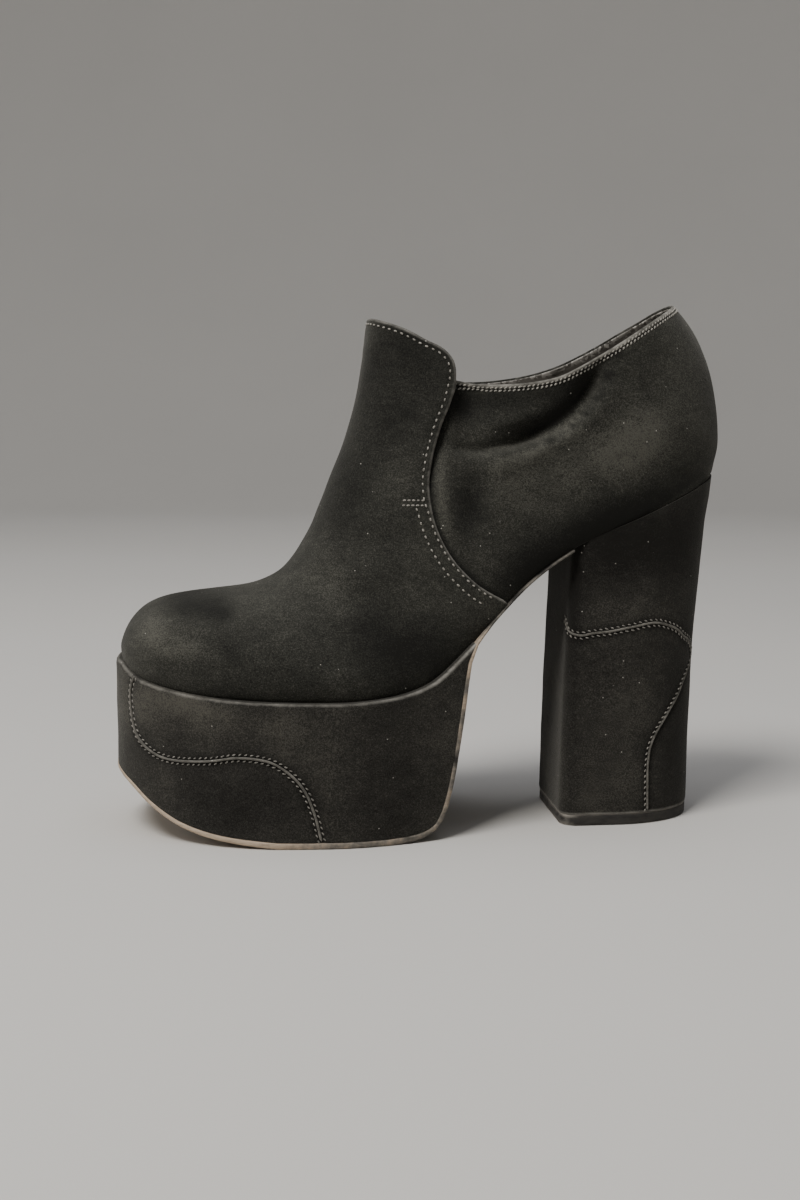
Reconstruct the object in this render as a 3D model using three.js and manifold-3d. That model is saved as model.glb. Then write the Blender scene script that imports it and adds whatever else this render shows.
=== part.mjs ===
// A left-foot platform shoe: a suede ankle shoe with a tall front flap, on a thick covered
// platform and a covered block heel, with a thin leather outsole that runs under the platform,
// up its back face and along the waist to the heel.
//
// Millimetres, +Z up. The toe points to -X, the heel to +X, the outer (lateral) side of the foot
// to -Y and the inner (medial) side to +Y. The shoe is drawn with x = 0 at the front of the upper
// and y = 0 on the heel's centre line, and moved at the end so that its origin is on the floor,
// under the middle of its bounding box.
import * as THREE from "three";
import { mergeVertices } from "three/addons/utils/BufferGeometryUtils.js";
import Module from "manifold-3d";

const wasm = await Module();
wasm.setup();

// ---------------------------------------------------------------- driving dimensions
const LENGTH = 240; // front of the upper to the back of its heel
const BALL_WIDTH = 95; // across the upper at the ball of the foot
const PLATFORM_HEIGHT = 55.7; // floor to the upper's lower edge at the ball
const SEAT_HEIGHT = 138.7; // floor to the upper's lower edge at the back
const FLAP_HEIGHT = 200; // floor to the top of the front flap

const WALL = 2; // upper leather and lining together
const LAP = 1.2; // the vamp's leather, which lies over the quarters
const VAMP_WALL = 2.2; // the vamp with its lining
const GAP = 0.3; // between pieces that meet
const OUTSOLE = 3; // thickness of the leather outsole
const INSOLE = 2.5;
const INSOLE_INSET = 3.9; // from the upper's outside to the insole's edge
const TOE_LEDGE = 2.8; // the platform stands out from the upper by this much at the toe,
const LEDGE = 4.2; // by this much at the ball,
const WAIST_LEDGE = 0.8; // and the outsole by this much along the waist
const WAIST_START = 137; // where the platform ends, from the front
const WAIST_BLEND = 9;
const TOP_LIFT = 4.6; // the wearing piece under the heel

// ---------------------------------------------------------------- the last
// One row for each section, from the toe's tip round the instep to the top of the back. A section
// lies in the plane through its crown point and its base point and along Y. Up to the seat's back
// the crown points run over the toe and up the instep and the base points along the sole; after
// it the sections are closed rings round the ankle, with their base points up the back.
//   crownX, baseX   share of LENGTH from the front
//   crownZ          share of the way from PLATFORM_HEIGHT up to FLAP_HEIGHT
//   baseZ           share of the way from PLATFORM_HEIGHT up to SEAT_HEIGHT
//   half            half the section's width, as a share of BALL_WIDTH
//   mid, ridge      the section's middle, and its crown from there, in mm towards the inner side
//   widest          where the section is widest, as a share of the way from crown to base
//   foot            width at the base as a share of the greatest width; 0 closes the ring
//   round           fullness of the crown: 2 is an ellipse, more is boxier
const SECTION_COLUMNS = "crownX crownZ baseX baseZ half mid ridge widest foot round".split(" ");
const SECTIONS = table(SECTION_COLUMNS, [
  [0.001, 0.094, 0.002, 0.14, 0, 3.8, 0, 0.8, 0.93, 2.3],
  [0, 0.114, 0.004, 0.133, 0.098, 3.8, 0, 0.8, 0.925, 2.3],
  [0.005, 0.142, 0.012, 0.11, 0.181, 3.8, 0, 0.8, 0.93, 2.3],
  [0.018, 0.182, 0.029, 0.08, 0.263, 3.6, 0.2, 0.79, 0.932, 2.3],
  [0.043, 0.22, 0.058, 0.057, 0.339, 3.1, 0.5, 0.78, 0.938, 2.35],
  [0.083, 0.244, 0.104, 0.033, 0.408, 2.4, 1.2, 0.78, 0.943, 2.35],
  [0.142, 0.258, 0.175, 0.013, 0.469, 0.9, 2.4, 0.78, 0.951, 2.3],
  [0.208, 0.271, 0.258, 0.004, 0.497, -0.9, 3.6, 0.78, 0.951, 2.2],
  [0.254, 0.3, 0.35, 0, 0.497, -2.3, 4.6, 0.79, 0.947, 2.05],
  [0.286, 0.352, 0.429, 0.014, 0.467, -2.5, 4.6, 0.8, 0.935, 1.95],
  [0.311, 0.421, 0.492, 0.059, 0.429, -2.3, 4, 0.81, 0.917, 1.95],
  [0.331, 0.5, 0.542, 0.171, 0.398, -2, 3, 0.81, 0.907, 1.98],
  [0.35, 0.581, 0.6, 0.341, 0.373, -1.5, 2, 0.8, 0.89, 2.05],
  [0.369, 0.658, 0.667, 0.534, 0.357, -0.9, 1, 0.78, 0.873, 2.15],
  [0.382, 0.728, 0.75, 0.692, 0.348, -0.4, 0.5, 0.75, 0.867, 2.3],
  [0.391, 0.788, 0.842, 0.808, 0.342, 0, 0, 0.73, 0.868, 2.4],
  [0.397, 0.841, 0.921, 0.91, 0.337, 0, 0, 0.72, 0.759, 2.5],
  [0.4, 0.872, 0.968, 0.971, 0.335, 0, 0, 0.715, 0.459, 2.55],
  [0.402, 0.893, 0.984, 0.992, 0.334, 0, 0, 0.712, 0.252, 2.55],
  [0.403, 0.913, 0.99, 1, 0.333, 0, 0, 0.71, 0, 2.6],
  [0.404, 0.924, 0.994, 1.047, 0.332, 0, 0, 0.707, 0, 2.6],
  [0.406, 0.951, 1.001, 1.16, 0.328, 0, 0, 0.7, 0, 2.65],
  [0.409, 0.99, 0.992, 1.395, 0.323, 0, 0, 0.68, 0, 2.7],
  [0.411, 1.028, 0.963, 1.642, 0.316, 0, 0, 0.66, 0, 2.7],
  [0.414, 1.069, 0.912, 1.835, 0.307, 0, 0, 0.64, 0, 2.7],
]);
const SEAT_BACK = 19; // the first row whose section is a closed ring

const RINGS_PER_ROW = 2;
const HALF_COLUMNS = 14; // columns from the crown to the base on one side

// Lines seen from the side, as [x, z] in millimetres, through which smooth curves run.
const COLLAR_OUTER = [
  [104, 178.5], [131, 174.8], [145, 173.9], [158, 174.6], [169, 176.6], [177, 179.8],
  [185, 183.8], [193, 188.5], [201, 193.6], [210, 199.2], [221, 205.8], [238, 215],
];
const COLLAR_INNER = [
  [104, 178.5], [131, 174.8], [145, 173.9], [158, 174.5], [170, 176.4], [181, 179.6],
  [190, 183.8], [198.5, 188.4], [206, 193.3], [213, 198.8], [221, 205.8], [238, 217],
];
const FLAP_TOP = [
  [84, 204.5], [98, 200], [110, 195.8], [119, 191], [125, 188], [129, 183.5], [130.3, 177.5],
];
const FLAP_BACK = [
  [130.3, 177.5], [128.2, 168.4], [124, 158], [120.6, 146], [119.3, 135], [121.5, 121.5],
  [127, 109.7], [135.5, 100], [144, 94], [158, 86],
];
const WALKING_LINE = [
  [-9, 30], [-2, 23.8], [3.9, 19.5], [11.9, 13], [21.5, 7.3], [31.3, 3.9], [41.1, 2], [50.4, 0.9], [60, 0],
];
const SOLE_BREAST = [
  [102, 0], [113.5, 1], [120.5, 4], [124, 8.5], [126.4, 15], [129, 26], [132, 44.4], [134.4, 60], [136, 68.2],
];
const QUARTER_UNDERLAP = 14; // the quarters run this far under the vamp and the flap
const QUARTER_TUCK = 3; // the quarters sink this far in beside the flap
const TUCK_LENGTH = 30; // and come level again this far behind its edge
const TUCK_FOOT_Z = 128; // the flap is free of the quarters above this height
const TUCK_RISE = 30;
const LEVEL_LENGTH = 90; // the quarters come out flush with the last this far behind the seam

// The heel: its height above the floor, where its breast and its back are, and half its width.
const HEEL_COLUMNS = "height breast back half".split(" ");
const HEEL = table(HEEL_COLUMNS, [
  [0, 172.8, 229.8, 27.0],
  [7, 173.1, 230.0, 27.0],
  [30, 173.5, 230.1, 27.0],
  [53, 174.2, 230.8, 27.1],
  [72, 175.0, 231.4, 27.3],
  [91, 175.9, 232.9, 27.7],
  [106, 176.6, 234.1, 28.2],
  [120, 177.4, 235.3, 28.8],
  [130, 177.9, 236.9, 29.2],
  [150, 178.6, 238.9, 29.6],
]);
const HEEL_ROUND = 34; // from the widest place to the back
const HEEL_FULLNESS = 2.05;
const HEEL_CORNER = 7; // round corners beside the breast
const HEEL_STEPS = 28;
const CORNER_STEPS = 5;
const TOP_LIFT_INSET = 0.3;

// ---------------------------------------------------------------- small tools
function table(columns, rows) {
  return rows.map((row) => Object.fromEntries(columns.map((name, i) => [name, row[i]])));
}

const clamp01 = (v) => Math.min(1, Math.max(0, v));
const smooth = (v) => clamp01(v) ** 2 * (3 - 2 * clamp01(v));

// The slope at a row between two rises: their harmonic mean, so that a curve never overshoots.
const slopeBetween = (before, after) => (before * after > 0 ? (2 * before * after) / (before + after) : 0);

// The value of a column at a place between the rows, on a smooth curve through them.
function columnAt(rows, name, place) {
  const i = Math.min(rows.length - 2, Math.floor(place));
  const t = place - i;
  const rise = (k) => rows[k + 1][name] - rows[k][name];
  const slopeIn = i > 0 ? slopeBetween(rise(i - 1), rise(i)) : rise(i);
  const slopeOut = i < rows.length - 2 ? slopeBetween(rise(i), rise(i + 1)) : rise(i);
  const bend = slopeIn + slopeOut - 2 * rise(i);
  return rows[i][name] + t * (slopeIn + t * (rise(i) - slopeIn - bend + t * bend));
}

// Points along a smooth curve through a short list of [x, z] points.
function curve(points, steps) {
  return new THREE.SplineCurve(points.map(([x, y]) => new THREE.Vector2(x, y))).getPoints(steps);
}

// The height, or other second value, of a curve's points at x.
function heightAt(points, x) {
  const i = Math.max(1, points.findIndex((p) => p.x >= x));
  const [a, b] = x > points.at(-1).x ? points.slice(-2) : [points[i - 1], points[i]];
  return a.y + ((b.y - a.y) * (x - a.x)) / (b.x - a.x);
}

// A closed geometry as a solid that can be cut and joined.
function solid(geometry) {
  const bare = geometry.clone();
  bare.deleteAttribute("normal");
  bare.deleteAttribute("uv");
  const merged = mergeVertices(bare, 1e-4);
  return new wasm.Manifold(
    new wasm.Mesh({
      numProp: 3,
      vertProperties: merged.attributes.position.array,
      triVerts: new Uint32Array(merged.index.array),
    }),
  );
}

// A solid back as a three.js geometry.
function geometryOf(made) {
  const { vertProperties, triVerts } = made.getMesh();
  const geometry = new THREE.BufferGeometry();
  geometry.setAttribute("position", new THREE.BufferAttribute(new Float32Array(vertProperties), 3));
  geometry.setIndex(new THREE.BufferAttribute(new Uint32Array(triVerts), 1));
  geometry.computeVertexNormals();
  return geometry;
}

// A solid with this outline seen from above, between two heights.
function planPrism(outline, bottom, top) {
  const shape = new THREE.Shape(outline);
  const geometry = new THREE.ExtrudeGeometry(shape, { depth: top - bottom, bevelEnabled: false });
  return solid(geometry.translate(0, 0, bottom));
}

// A solid with this outline seen from the side, from one y to another, or wider than the shoe.
function sidePrism(outline, from = -BALL_WIDTH, to = BALL_WIDTH) {
  const shape = new THREE.Shape(outline);
  const geometry = new THREE.ExtrudeGeometry(shape, { depth: to - from, bevelEnabled: false });
  return solid(geometry.rotateX(Math.PI / 2).translate(0, to, 0));
}

// A closed body through rings of equally many points, with flat ends.
function loft(rings) {
  const count = rings[0].length;
  const index = [];
  for (let r = 0; r + 1 < rings.length; r++) {
    for (let i = 0; i < count; i++) {
      const a = r * count + i;
      const b = r * count + ((i + 1) % count);
      index.push(a, b, a + count, b, b + count, a + count);
    }
  }
  const last = (rings.length - 1) * count;
  for (const [a, b, c] of THREE.ShapeUtils.triangulateShape(rings[0], [])) {
    index.push(c, b, a, last + a, last + b, last + c);
  }
  const geometry = new THREE.BufferGeometry().setFromPoints(rings.flat());
  geometry.setIndex(index);
  return solid(geometry);
}

// ---------------------------------------------------------------- the last's surface
const sectionAt = (place) =>
  Object.fromEntries(SECTION_COLUMNS.map((name) => [name, columnAt(SECTIONS, name, place)]));

// Crown and base points of a section, seen from the side.
function crownAndBase(section) {
  const crown = new THREE.Vector2(
    section.crownX * LENGTH,
    PLATFORM_HEIGHT + section.crownZ * (FLAP_HEIGHT - PLATFORM_HEIGHT),
  );
  const base = new THREE.Vector2(
    section.baseX * LENGTH,
    PLATFORM_HEIGHT + section.baseZ * (SEAT_HEIGHT - PLATFORM_HEIGHT),
  );
  return { crown, base };
}

// A point of the last. across runs from -1, the base on the outer side, through 0, the crown,
// to 1, the base on the inner side.
function lastPoint(place, across) {
  const section = sectionAt(place);
  const { crown, base } = crownAndBase(section);
  const side = Math.sign(across);
  const foot = place >= SEAT_BACK ? 0 : clamp01(section.foot);
  const turn = Math.acos(foot);
  const share = 2 * Math.abs(across);
  let along;
  let out;
  if (share < 1) {
    const angle = (share * Math.PI) / 2;
    along = section.widest * (1 - Math.cos(angle) ** (2 / section.round));
    out = Math.sin(angle) ** (2 / section.round);
  } else {
    const angle = (share - 1) * turn;
    along = section.widest + (1 - section.widest) * (Math.sin(angle) / Math.sin(turn));
    out = Math.cos(angle);
  }
  const inSide = crown.lerp(base, along);
  const ridge = section.mid + section.ridge * (1 - Math.min(1, share));
  return new THREE.Vector3(inSide.x, ridge + side * out * section.half * BALL_WIDTH, inSide.y);
}

// The base line, where the upper meets the sole, from the toe's tip to the seat's back.
const BASE_STEPS = 4 * SEAT_BACK;
const BASE_LINE = Array.from({ length: BASE_STEPS + 1 }, (_, i) => {
  const place = (i / BASE_STEPS) * SEAT_BACK;
  const { base } = crownAndBase(sectionAt(place));
  return { side: base, outer: lastPoint(place, -1), inner: lastPoint(place, 1) };
});
const baseHeight = (x) => heightAt(BASE_LINE.map((p) => p.side), x);

// The outline of the base line seen from above, grown by a ledge that may change along the shoe.
function baseOutline(ledge) {
  const grow = (points, turn) =>
    points.map((p, i) => {
      const before = points[Math.max(0, i - 1)];
      const after = points[Math.min(points.length - 1, i + 1)];
      const out = new THREE.Vector2(after.y - before.y, before.x - after.x).normalize();
      return new THREE.Vector2(p.x, p.y).addScaledVector(out, turn * ledge(p.x));
    });
  const outer = grow(BASE_LINE.map((p) => p.outer), 1).slice(1, -1);
  const inner = grow(BASE_LINE.map((p) => p.inner), -1).slice(1, -1);
  const toe = new THREE.Vector2(BASE_LINE[0].outer.x - ledge(0), BASE_LINE[0].outer.y);
  const back = new THREE.Vector2(BASE_LINE.at(-1).outer.x + ledge(LENGTH), 0);
  return [toe, ...outer, back, ...inner.reverse()];
}

// A line that runs from front to back, moved sideways to its left. Points that would then run
// back towards the front are left out.
function offsetLine(points, distance) {
  const moved = points.map((p, i) => {
    const before = points[Math.max(0, i - 1)];
    const after = points[Math.min(points.length - 1, i + 1)];
    const left = new THREE.Vector2(before.y - after.y, after.x - before.x).normalize();
    return p.clone().addScaledVector(left, distance);
  });
  return moved.filter((p, i) => moved.slice(0, i).every((earlier) => earlier.x < p.x));
}

// ---------------------------------------------------------------- the upper
const RINGS = (SECTIONS.length - 1) * RINGS_PER_ROW;
const SEAT_RING = SEAT_BACK * RINGS_PER_ROW;
const COLUMNS = 2 * HALF_COLUMNS;
const gridIndex = (ring, column) => ring * (COLUMNS + 1) + column;

// Faces over a grid of points, looking outward, with an offset into the list of points.
function gridFaces(start, outward) {
  const faces = [];
  for (let ring = 0; ring < RINGS; ring++) {
    for (let column = 0; column < COLUMNS; column++) {
      const a = start + gridIndex(ring, column);
      const b = a + 1;
      const c = start + gridIndex(ring + 1, column);
      const d = c + 1;
      faces.push(...(outward ? [a, c, b, b, c, d] : [a, b, c, b, d, c]));
    }
  }
  return faces;
}

// The last's points and its outward directions there.
function lastGrid() {
  const points = [];
  for (let ring = 0; ring <= RINGS; ring++) {
    for (let column = 0; column <= COLUMNS; column++) {
      points.push(lastPoint(ring / RINGS_PER_ROW, column / HALF_COLUMNS - 1));
    }
  }
  const faces = gridFaces(0, true);
  const geometry = new THREE.BufferGeometry().setFromPoints(points);
  geometry.setIndex(faces);
  const merged = mergeVertices(geometry, 1e-3);
  merged.computeVertexNormals();
  const directions = [];
  faces.forEach((corner, i) => {
    directions[corner] = new THREE.Vector3().fromBufferAttribute(merged.attributes.normal, merged.index.array[i]);
  });
  return { points, directions };
}

// A wall over the whole last, between two depths under its surface.
function shell(grid, outerDepth, thickness) {
  const sink = (extra) =>
    grid.points.map((p, i) => p.clone().addScaledVector(grid.directions[i], -outerDepth(p) - extra));
  const outer = sink(0);
  const inner = sink(thickness);
  const start = outer.length;
  const faces = [...gridFaces(0, true), ...gridFaces(start, false)];
  const strip = (a, b) => faces.push(a, b, b + start, a, b + start, a + start);
  for (let ring = 0; ring < SEAT_RING; ring++) {
    strip(gridIndex(ring + 1, 0), gridIndex(ring, 0));
    strip(gridIndex(ring, COLUMNS), gridIndex(ring + 1, COLUMNS));
  }
  for (let column = 0; column < COLUMNS; column++) {
    strip(gridIndex(RINGS, column + 1), gridIndex(RINGS, column));
  }
  const geometry = new THREE.BufferGeometry().setFromPoints([...outer, ...inner]);
  geometry.setIndex(faces);
  return solid(geometry);
}

const flapTop = curve(FLAP_TOP, 24);
const flapBack = curve(FLAP_BACK, 36);

// The x of the flap's and the vamp's back edge at a height.
const flapEdgeX = (z) => heightAt(flapBack.map((p) => new THREE.Vector2(-p.y, p.x)), -z);

// How far the quarters lie under the last's surface: below the vamp's leather at its seam, deeper
// beside the free flap, and flush with it towards the back.
function quarterDepth(p) {
  const behind = p.x - flapEdgeX(p.z);
  const free = smooth((p.z - TUCK_FOOT_Z) / TUCK_RISE);
  return LAP * (1 - smooth(behind / LEVEL_LENGTH)) + QUARTER_TUCK * free * (1 - smooth(behind / TUCK_LENGTH));
}

function makeUpper() {
  const grid = lastGrid();
  const front = -LEDGE * 2;
  const below = PLATFORM_HEIGHT - 2 * OUTSOLE;
  const seamFoot = flapBack.at(-1).x;
  const vamp = shell(grid, () => 0, VAMP_WALL).intersect(
    sidePrism([
      new THREE.Vector2(front, below),
      new THREE.Vector2(seamFoot, below),
      ...flapBack.toReversed(),
      ...flapTop.toReversed(),
      new THREE.Vector2(front, FLAP_HEIGHT),
    ]),
  );
  const quarterFront = flapBack.map((p) => new THREE.Vector2(p.x - QUARTER_UNDERLAP, p.y));
  const behind = 2 * LENGTH;
  const quarterSide = (collar) => [
    new THREE.Vector2(behind, below),
    new THREE.Vector2(behind, collar.at(-1).y),
    ...collar.toReversed().filter((p) => p.x > quarterFront[0].x),
    ...quarterFront.slice(1),
    new THREE.Vector2(quarterFront.at(-1).x, below),
  ];
  const outerSide = sidePrism(quarterSide(curve(COLLAR_OUTER, 60)), -BALL_WIDTH, 0);
  const innerSide = sidePrism(quarterSide(curve(COLLAR_INNER, 60)), 0, BALL_WIDTH);
  const quarters = shell(grid, quarterDepth, WALL).intersect(outerSide.add(innerSide));
  return vamp.add(quarters).intersect(aboveBase(-GAP / 3));
}

// ---------------------------------------------------------------- the sole
const baseSide = BASE_LINE.map((p) => p.side);
const FAR = 3 * LENGTH;

// The sole's and the platform's ledge outside the upper, along the shoe.
function soleLedge(x) {
  const full = TOE_LEDGE + (LEDGE - TOE_LEDGE) * smooth(x / 60);
  return full + (WAIST_LEDGE - full) * smooth((x - WAIST_START) / WAIST_BLEND);
}

// The lowest line of the sole seen from the side: rocker, flat, back face and waist.
const WAIST_LINE = offsetLine(baseSide, -GAP - OUTSOLE).filter((p) => p.x > WAIST_START + 2);
const SOLE_LINE = [...curve(WALKING_LINE, 16), ...curve(SOLE_BREAST, 24), ...WAIST_LINE];

// Everything above, or below, a line seen from the side that runs from front to back.
function halfSpace(line, up) {
  const far = (up ? 1 : -1) * FAR;
  return sidePrism([...line, new THREE.Vector2(line.at(-1).x, far), new THREE.Vector2(line[0].x, far)]);
}

// A line lengthened level to both sides.
const lengthened = (line) => [
  new THREE.Vector2(-LENGTH, line[0].y),
  ...line,
  new THREE.Vector2(2 * LENGTH, line.at(-1).y),
];

const footprint = (ledge) => planPrism(baseOutline(ledge), 0, FLAP_HEIGHT);
const aboveSole = (distance) => halfSpace(lengthened(offsetLine(SOLE_LINE, distance)), true);
const belowSole = (distance) => halfSpace(lengthened(offsetLine(SOLE_LINE, distance)), false);
const aboveBase = (distance) => halfSpace(lengthened(offsetLine(baseSide, distance)), true);
const belowBase = (distance) => halfSpace(lengthened(offsetLine(baseSide, distance)), false);

// The covered block under the forefoot, from the outsole to the upper.
function makePlatform() {
  return footprint(soleLedge).intersect(belowBase(-GAP)).intersect(aboveSole(OUTSOLE + GAP));
}

// One leather sheet under the platform, up its back and along the waist to the heel.
function makeOutsole() {
  const sheet = aboveSole(0).intersect(belowSole(OUTSOLE));
  return footprint(soleLedge).intersect(sheet).intersect(belowBase(-GAP)).intersect(inFrontOfHeel());
}

// The board inside the upper, on the sole.
function makeInsole() {
  const inside = footprint(() => -INSOLE_INSET);
  return inside.intersect(aboveBase(GAP)).intersect(belowBase(GAP + INSOLE));
}

// ---------------------------------------------------------------- the heel
const heelAt = (z) =>
  Object.fromEntries(HEEL_COLUMNS.map((name) => {
    const points = HEEL.map((row) => new THREE.Vector2(row.height, row[name]));
    return [name, heightAt(points, z)];
  }));

// The heel's outline at a height: a straight breast with rounded corners and a round back.
function heelRing(z, inset) {
  const { breast, back, half } = heelAt(z);
  const width = half - inset;
  const centre = back - HEEL_ROUND;
  const front = breast + inset;
  const rim = Array.from({ length: HEEL_STEPS + 1 }, (_, i) => {
    const angle = (i / HEEL_STEPS - 0.5) * Math.PI;
    const out = Math.sign(angle) * Math.abs(Math.sin(angle)) ** (2 / HEEL_FULLNESS);
    const along = Math.cos(angle) ** (2 / HEEL_FULLNESS);
    return new THREE.Vector3(centre + (HEEL_ROUND - inset) * along, width * out, z);
  });
  const corner = (side) =>
    Array.from({ length: CORNER_STEPS + 1 }, (_, i) => {
      const angle = ((side > 0 ? i : CORNER_STEPS - i) / CORNER_STEPS) * (Math.PI / 2);
      return new THREE.Vector3(
        front + HEEL_CORNER * (1 - Math.sin(angle)),
        side * (width - HEEL_CORNER * (1 - Math.cos(angle))),
        z,
      );
    });
  return [...rim, ...corner(1), ...corner(-1)];
}

function heelBody(bottom, top, inset) {
  const heights = [bottom, ...HEEL.map((row) => row.height).filter((z) => z > bottom && z < top), top];
  return loft(heights.map((z) => heelRing(z, inset)));
}

// Everything in front of the heel's breast, a gap away from it.
function inFrontOfHeel() {
  const line = HEEL.map((row) => new THREE.Vector2(row.breast - GAP, row.height));
  return sidePrism([new THREE.Vector2(-LENGTH, 0), ...line, new THREE.Vector2(-LENGTH, line.at(-1).y)]);
}

const makeHeel = () => heelBody(TOP_LIFT + GAP, HEEL.at(-1).height, 0).intersect(belowBase(-GAP));
const makeTopLift = () => heelBody(0, TOP_LIFT, TOP_LIFT_INSET);

// ---------------------------------------------------------------- the shoe
const FINISHES = {
  suede: { color: 0x2b2b2a, roughness: 0.95 },
  lining: { color: 0x6f665c, roughness: 0.8 },
  leather: { color: 0x8a6f52, roughness: 0.7 },
  rubber: { color: 0x1b1b1b, roughness: 0.7 },
};

const PIECES = [
  ["upper", makeUpper, "suede"],
  ["insole", makeInsole, "lining"],
  ["platform", makePlatform, "suede"],
  ["outsole", makeOutsole, "leather"],
  ["heel", makeHeel, "suede"],
  ["top_lift", makeTopLift, "rubber"],
];

const group = new THREE.Group();
group.name = "platform_shoe";
for (const [name, make, finish] of PIECES) {
  const mesh = new THREE.Mesh(geometryOf(make()), new THREE.MeshStandardMaterial(FINISHES[finish]));
  mesh.name = name;
  group.add(mesh);
}

const box = new THREE.Box3().setFromObject(group);
const middle = box.getCenter(new THREE.Vector3());
for (const mesh of group.children) {
  mesh.geometry.translate(-middle.x, -middle.y, -box.min.z);
}

export default group;
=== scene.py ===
"""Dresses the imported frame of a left-foot suede platform shoe.

Lengths in the classes are millimetres in the last's own frame, the one the solids were drawn in:
x runs back from the front of the upper, y is 0 on the heel's centre line and negative on the outer
side of the foot, z runs up from the floor. Frame.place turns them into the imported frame's metres.
"""

from __future__ import annotations

import logging
import math
from dataclasses import dataclass, field, replace
from enum import Enum
from typing import Callable, Sequence

import bpy
import numpy as np
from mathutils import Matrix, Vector, kdtree, noise

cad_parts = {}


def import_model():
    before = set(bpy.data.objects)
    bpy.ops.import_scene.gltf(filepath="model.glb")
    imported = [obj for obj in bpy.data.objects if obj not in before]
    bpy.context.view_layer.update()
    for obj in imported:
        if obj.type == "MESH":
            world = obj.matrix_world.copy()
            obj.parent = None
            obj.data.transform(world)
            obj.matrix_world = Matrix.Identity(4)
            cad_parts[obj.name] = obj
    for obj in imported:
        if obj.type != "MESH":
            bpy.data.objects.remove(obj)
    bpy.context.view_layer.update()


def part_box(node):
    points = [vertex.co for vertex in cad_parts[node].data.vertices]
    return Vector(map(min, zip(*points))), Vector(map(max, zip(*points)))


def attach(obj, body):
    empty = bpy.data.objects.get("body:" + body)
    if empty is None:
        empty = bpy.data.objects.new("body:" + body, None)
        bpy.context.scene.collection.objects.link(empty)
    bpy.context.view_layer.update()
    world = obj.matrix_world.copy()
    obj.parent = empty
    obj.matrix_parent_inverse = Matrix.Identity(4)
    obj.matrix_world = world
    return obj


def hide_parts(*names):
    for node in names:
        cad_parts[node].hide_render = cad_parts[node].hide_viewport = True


LOG = logging.getLogger("shoe")
MM = 0.001
Array = np.ndarray
Tree, Socket = bpy.types.NodeTree, bpy.types.NodeSocket


# ------------------------------------------------------------------ lines and tables
def smooth(value: Array | float) -> Array:
    """Eases 0 to 1 between 0 and 1."""
    t = np.clip(value, 0.0, 1.0)
    return t * t * (3.0 - 2.0 * t)


def curve(points: Sequence[Sequence[float]], steps: int) -> Array:
    """A smooth line through a short list of points.

    Args:
        points: the points to pass through, of any dimension.
        steps: how many pieces the line is cut into.

    Returns:
        steps + 1 points, spread evenly over the spans between the given ones.
    """
    p = np.asarray(points, float)
    padded = np.vstack([2 * p[0] - p[1], p, 2 * p[-1] - p[-2]])
    place = np.linspace(0, len(p) - 1, steps + 1)
    i = np.minimum(place.astype(int), len(p) - 2)
    t = (place - i)[:, None]
    a, b, c, d = (padded[i + k] for k in range(4))
    return 0.5 * (2 * b + t * (c - a + t * (2 * a - 5 * b + 4 * c - d + t * (3 * b - a - 3 * c + d))))


def resample(line: Array, pitch: float) -> Array:
    """Points along a line at even distances close to a pitch.

    Args:
        line: points along a line.
        pitch: the wanted distance between neighbours.

    Returns:
        The new points, the line's ends among them.
    """
    run = arc(line)
    count = max(1, round(run[-1] / pitch))
    wanted = np.linspace(0, run[-1], count + 1)
    return np.stack([np.interp(wanted, run, line[:, k]) for k in range(line.shape[1])], 1)


def arc(line: Array) -> Array:
    """The distance along a line at each of its points."""
    return np.concatenate([[0.0], np.cumsum(np.linalg.norm(np.diff(line, axis=0), axis=1))])


def sideways(line: Array, distance: float | Array) -> Array:
    """A line seen from the side, moved to its left as it runs.

    Args:
        line: [x, z] points that run from front to back.
        distance: how far it moves, up for a line that runs back; one value or one for each point.

    Returns:
        The moved points, without those that would run back towards the front.
    """
    step = np.gradient(line, axis=0)
    left = np.stack([-step[:, 1], step[:, 0]], 1)
    moved = line + distance * left / np.linalg.norm(left, axis=1, keepdims=True)
    ahead = np.maximum.accumulate(moved[:, 0])
    keep = np.concatenate([[True], moved[1:, 0] > ahead[:-1]])
    return moved[keep]


def unit(vectors: Array) -> Array:
    """Vectors of length one."""
    return vectors / np.maximum(np.linalg.norm(vectors, axis=-1, keepdims=True), 1e-9)


def distance_to(line: Array, points: Array) -> tuple[Array, Array, Array]:
    """How far points lie from a line in a plane.

    Args:
        line: the line's points.
        points: the points to measure.

    Returns:
        The distance, the share of the way along the line of the nearest place, and the
        side: positive to the line's left.
    """
    best = np.full(len(points), 1e9)
    share = np.zeros(len(points))
    side = np.ones(len(points))
    run = arc(line)
    for i, (a, b) in enumerate(zip(line[:-1], line[1:])):
        along = b - a
        length = float(np.hypot(*along))
        if length < 1e-9:
            continue
        offset = points - a
        t = np.clip(offset @ along / length**2, 0, 1)
        gap = np.linalg.norm(offset - t[:, None] * along, axis=1)
        near = gap < best
        best[near] = gap[near]
        share[near] = (run[i] + t[near] * length) / run[-1]
        side[near] = np.sign(along[0] * offset[near, 1] - along[1] * offset[near, 0])
    return best, share, side


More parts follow.
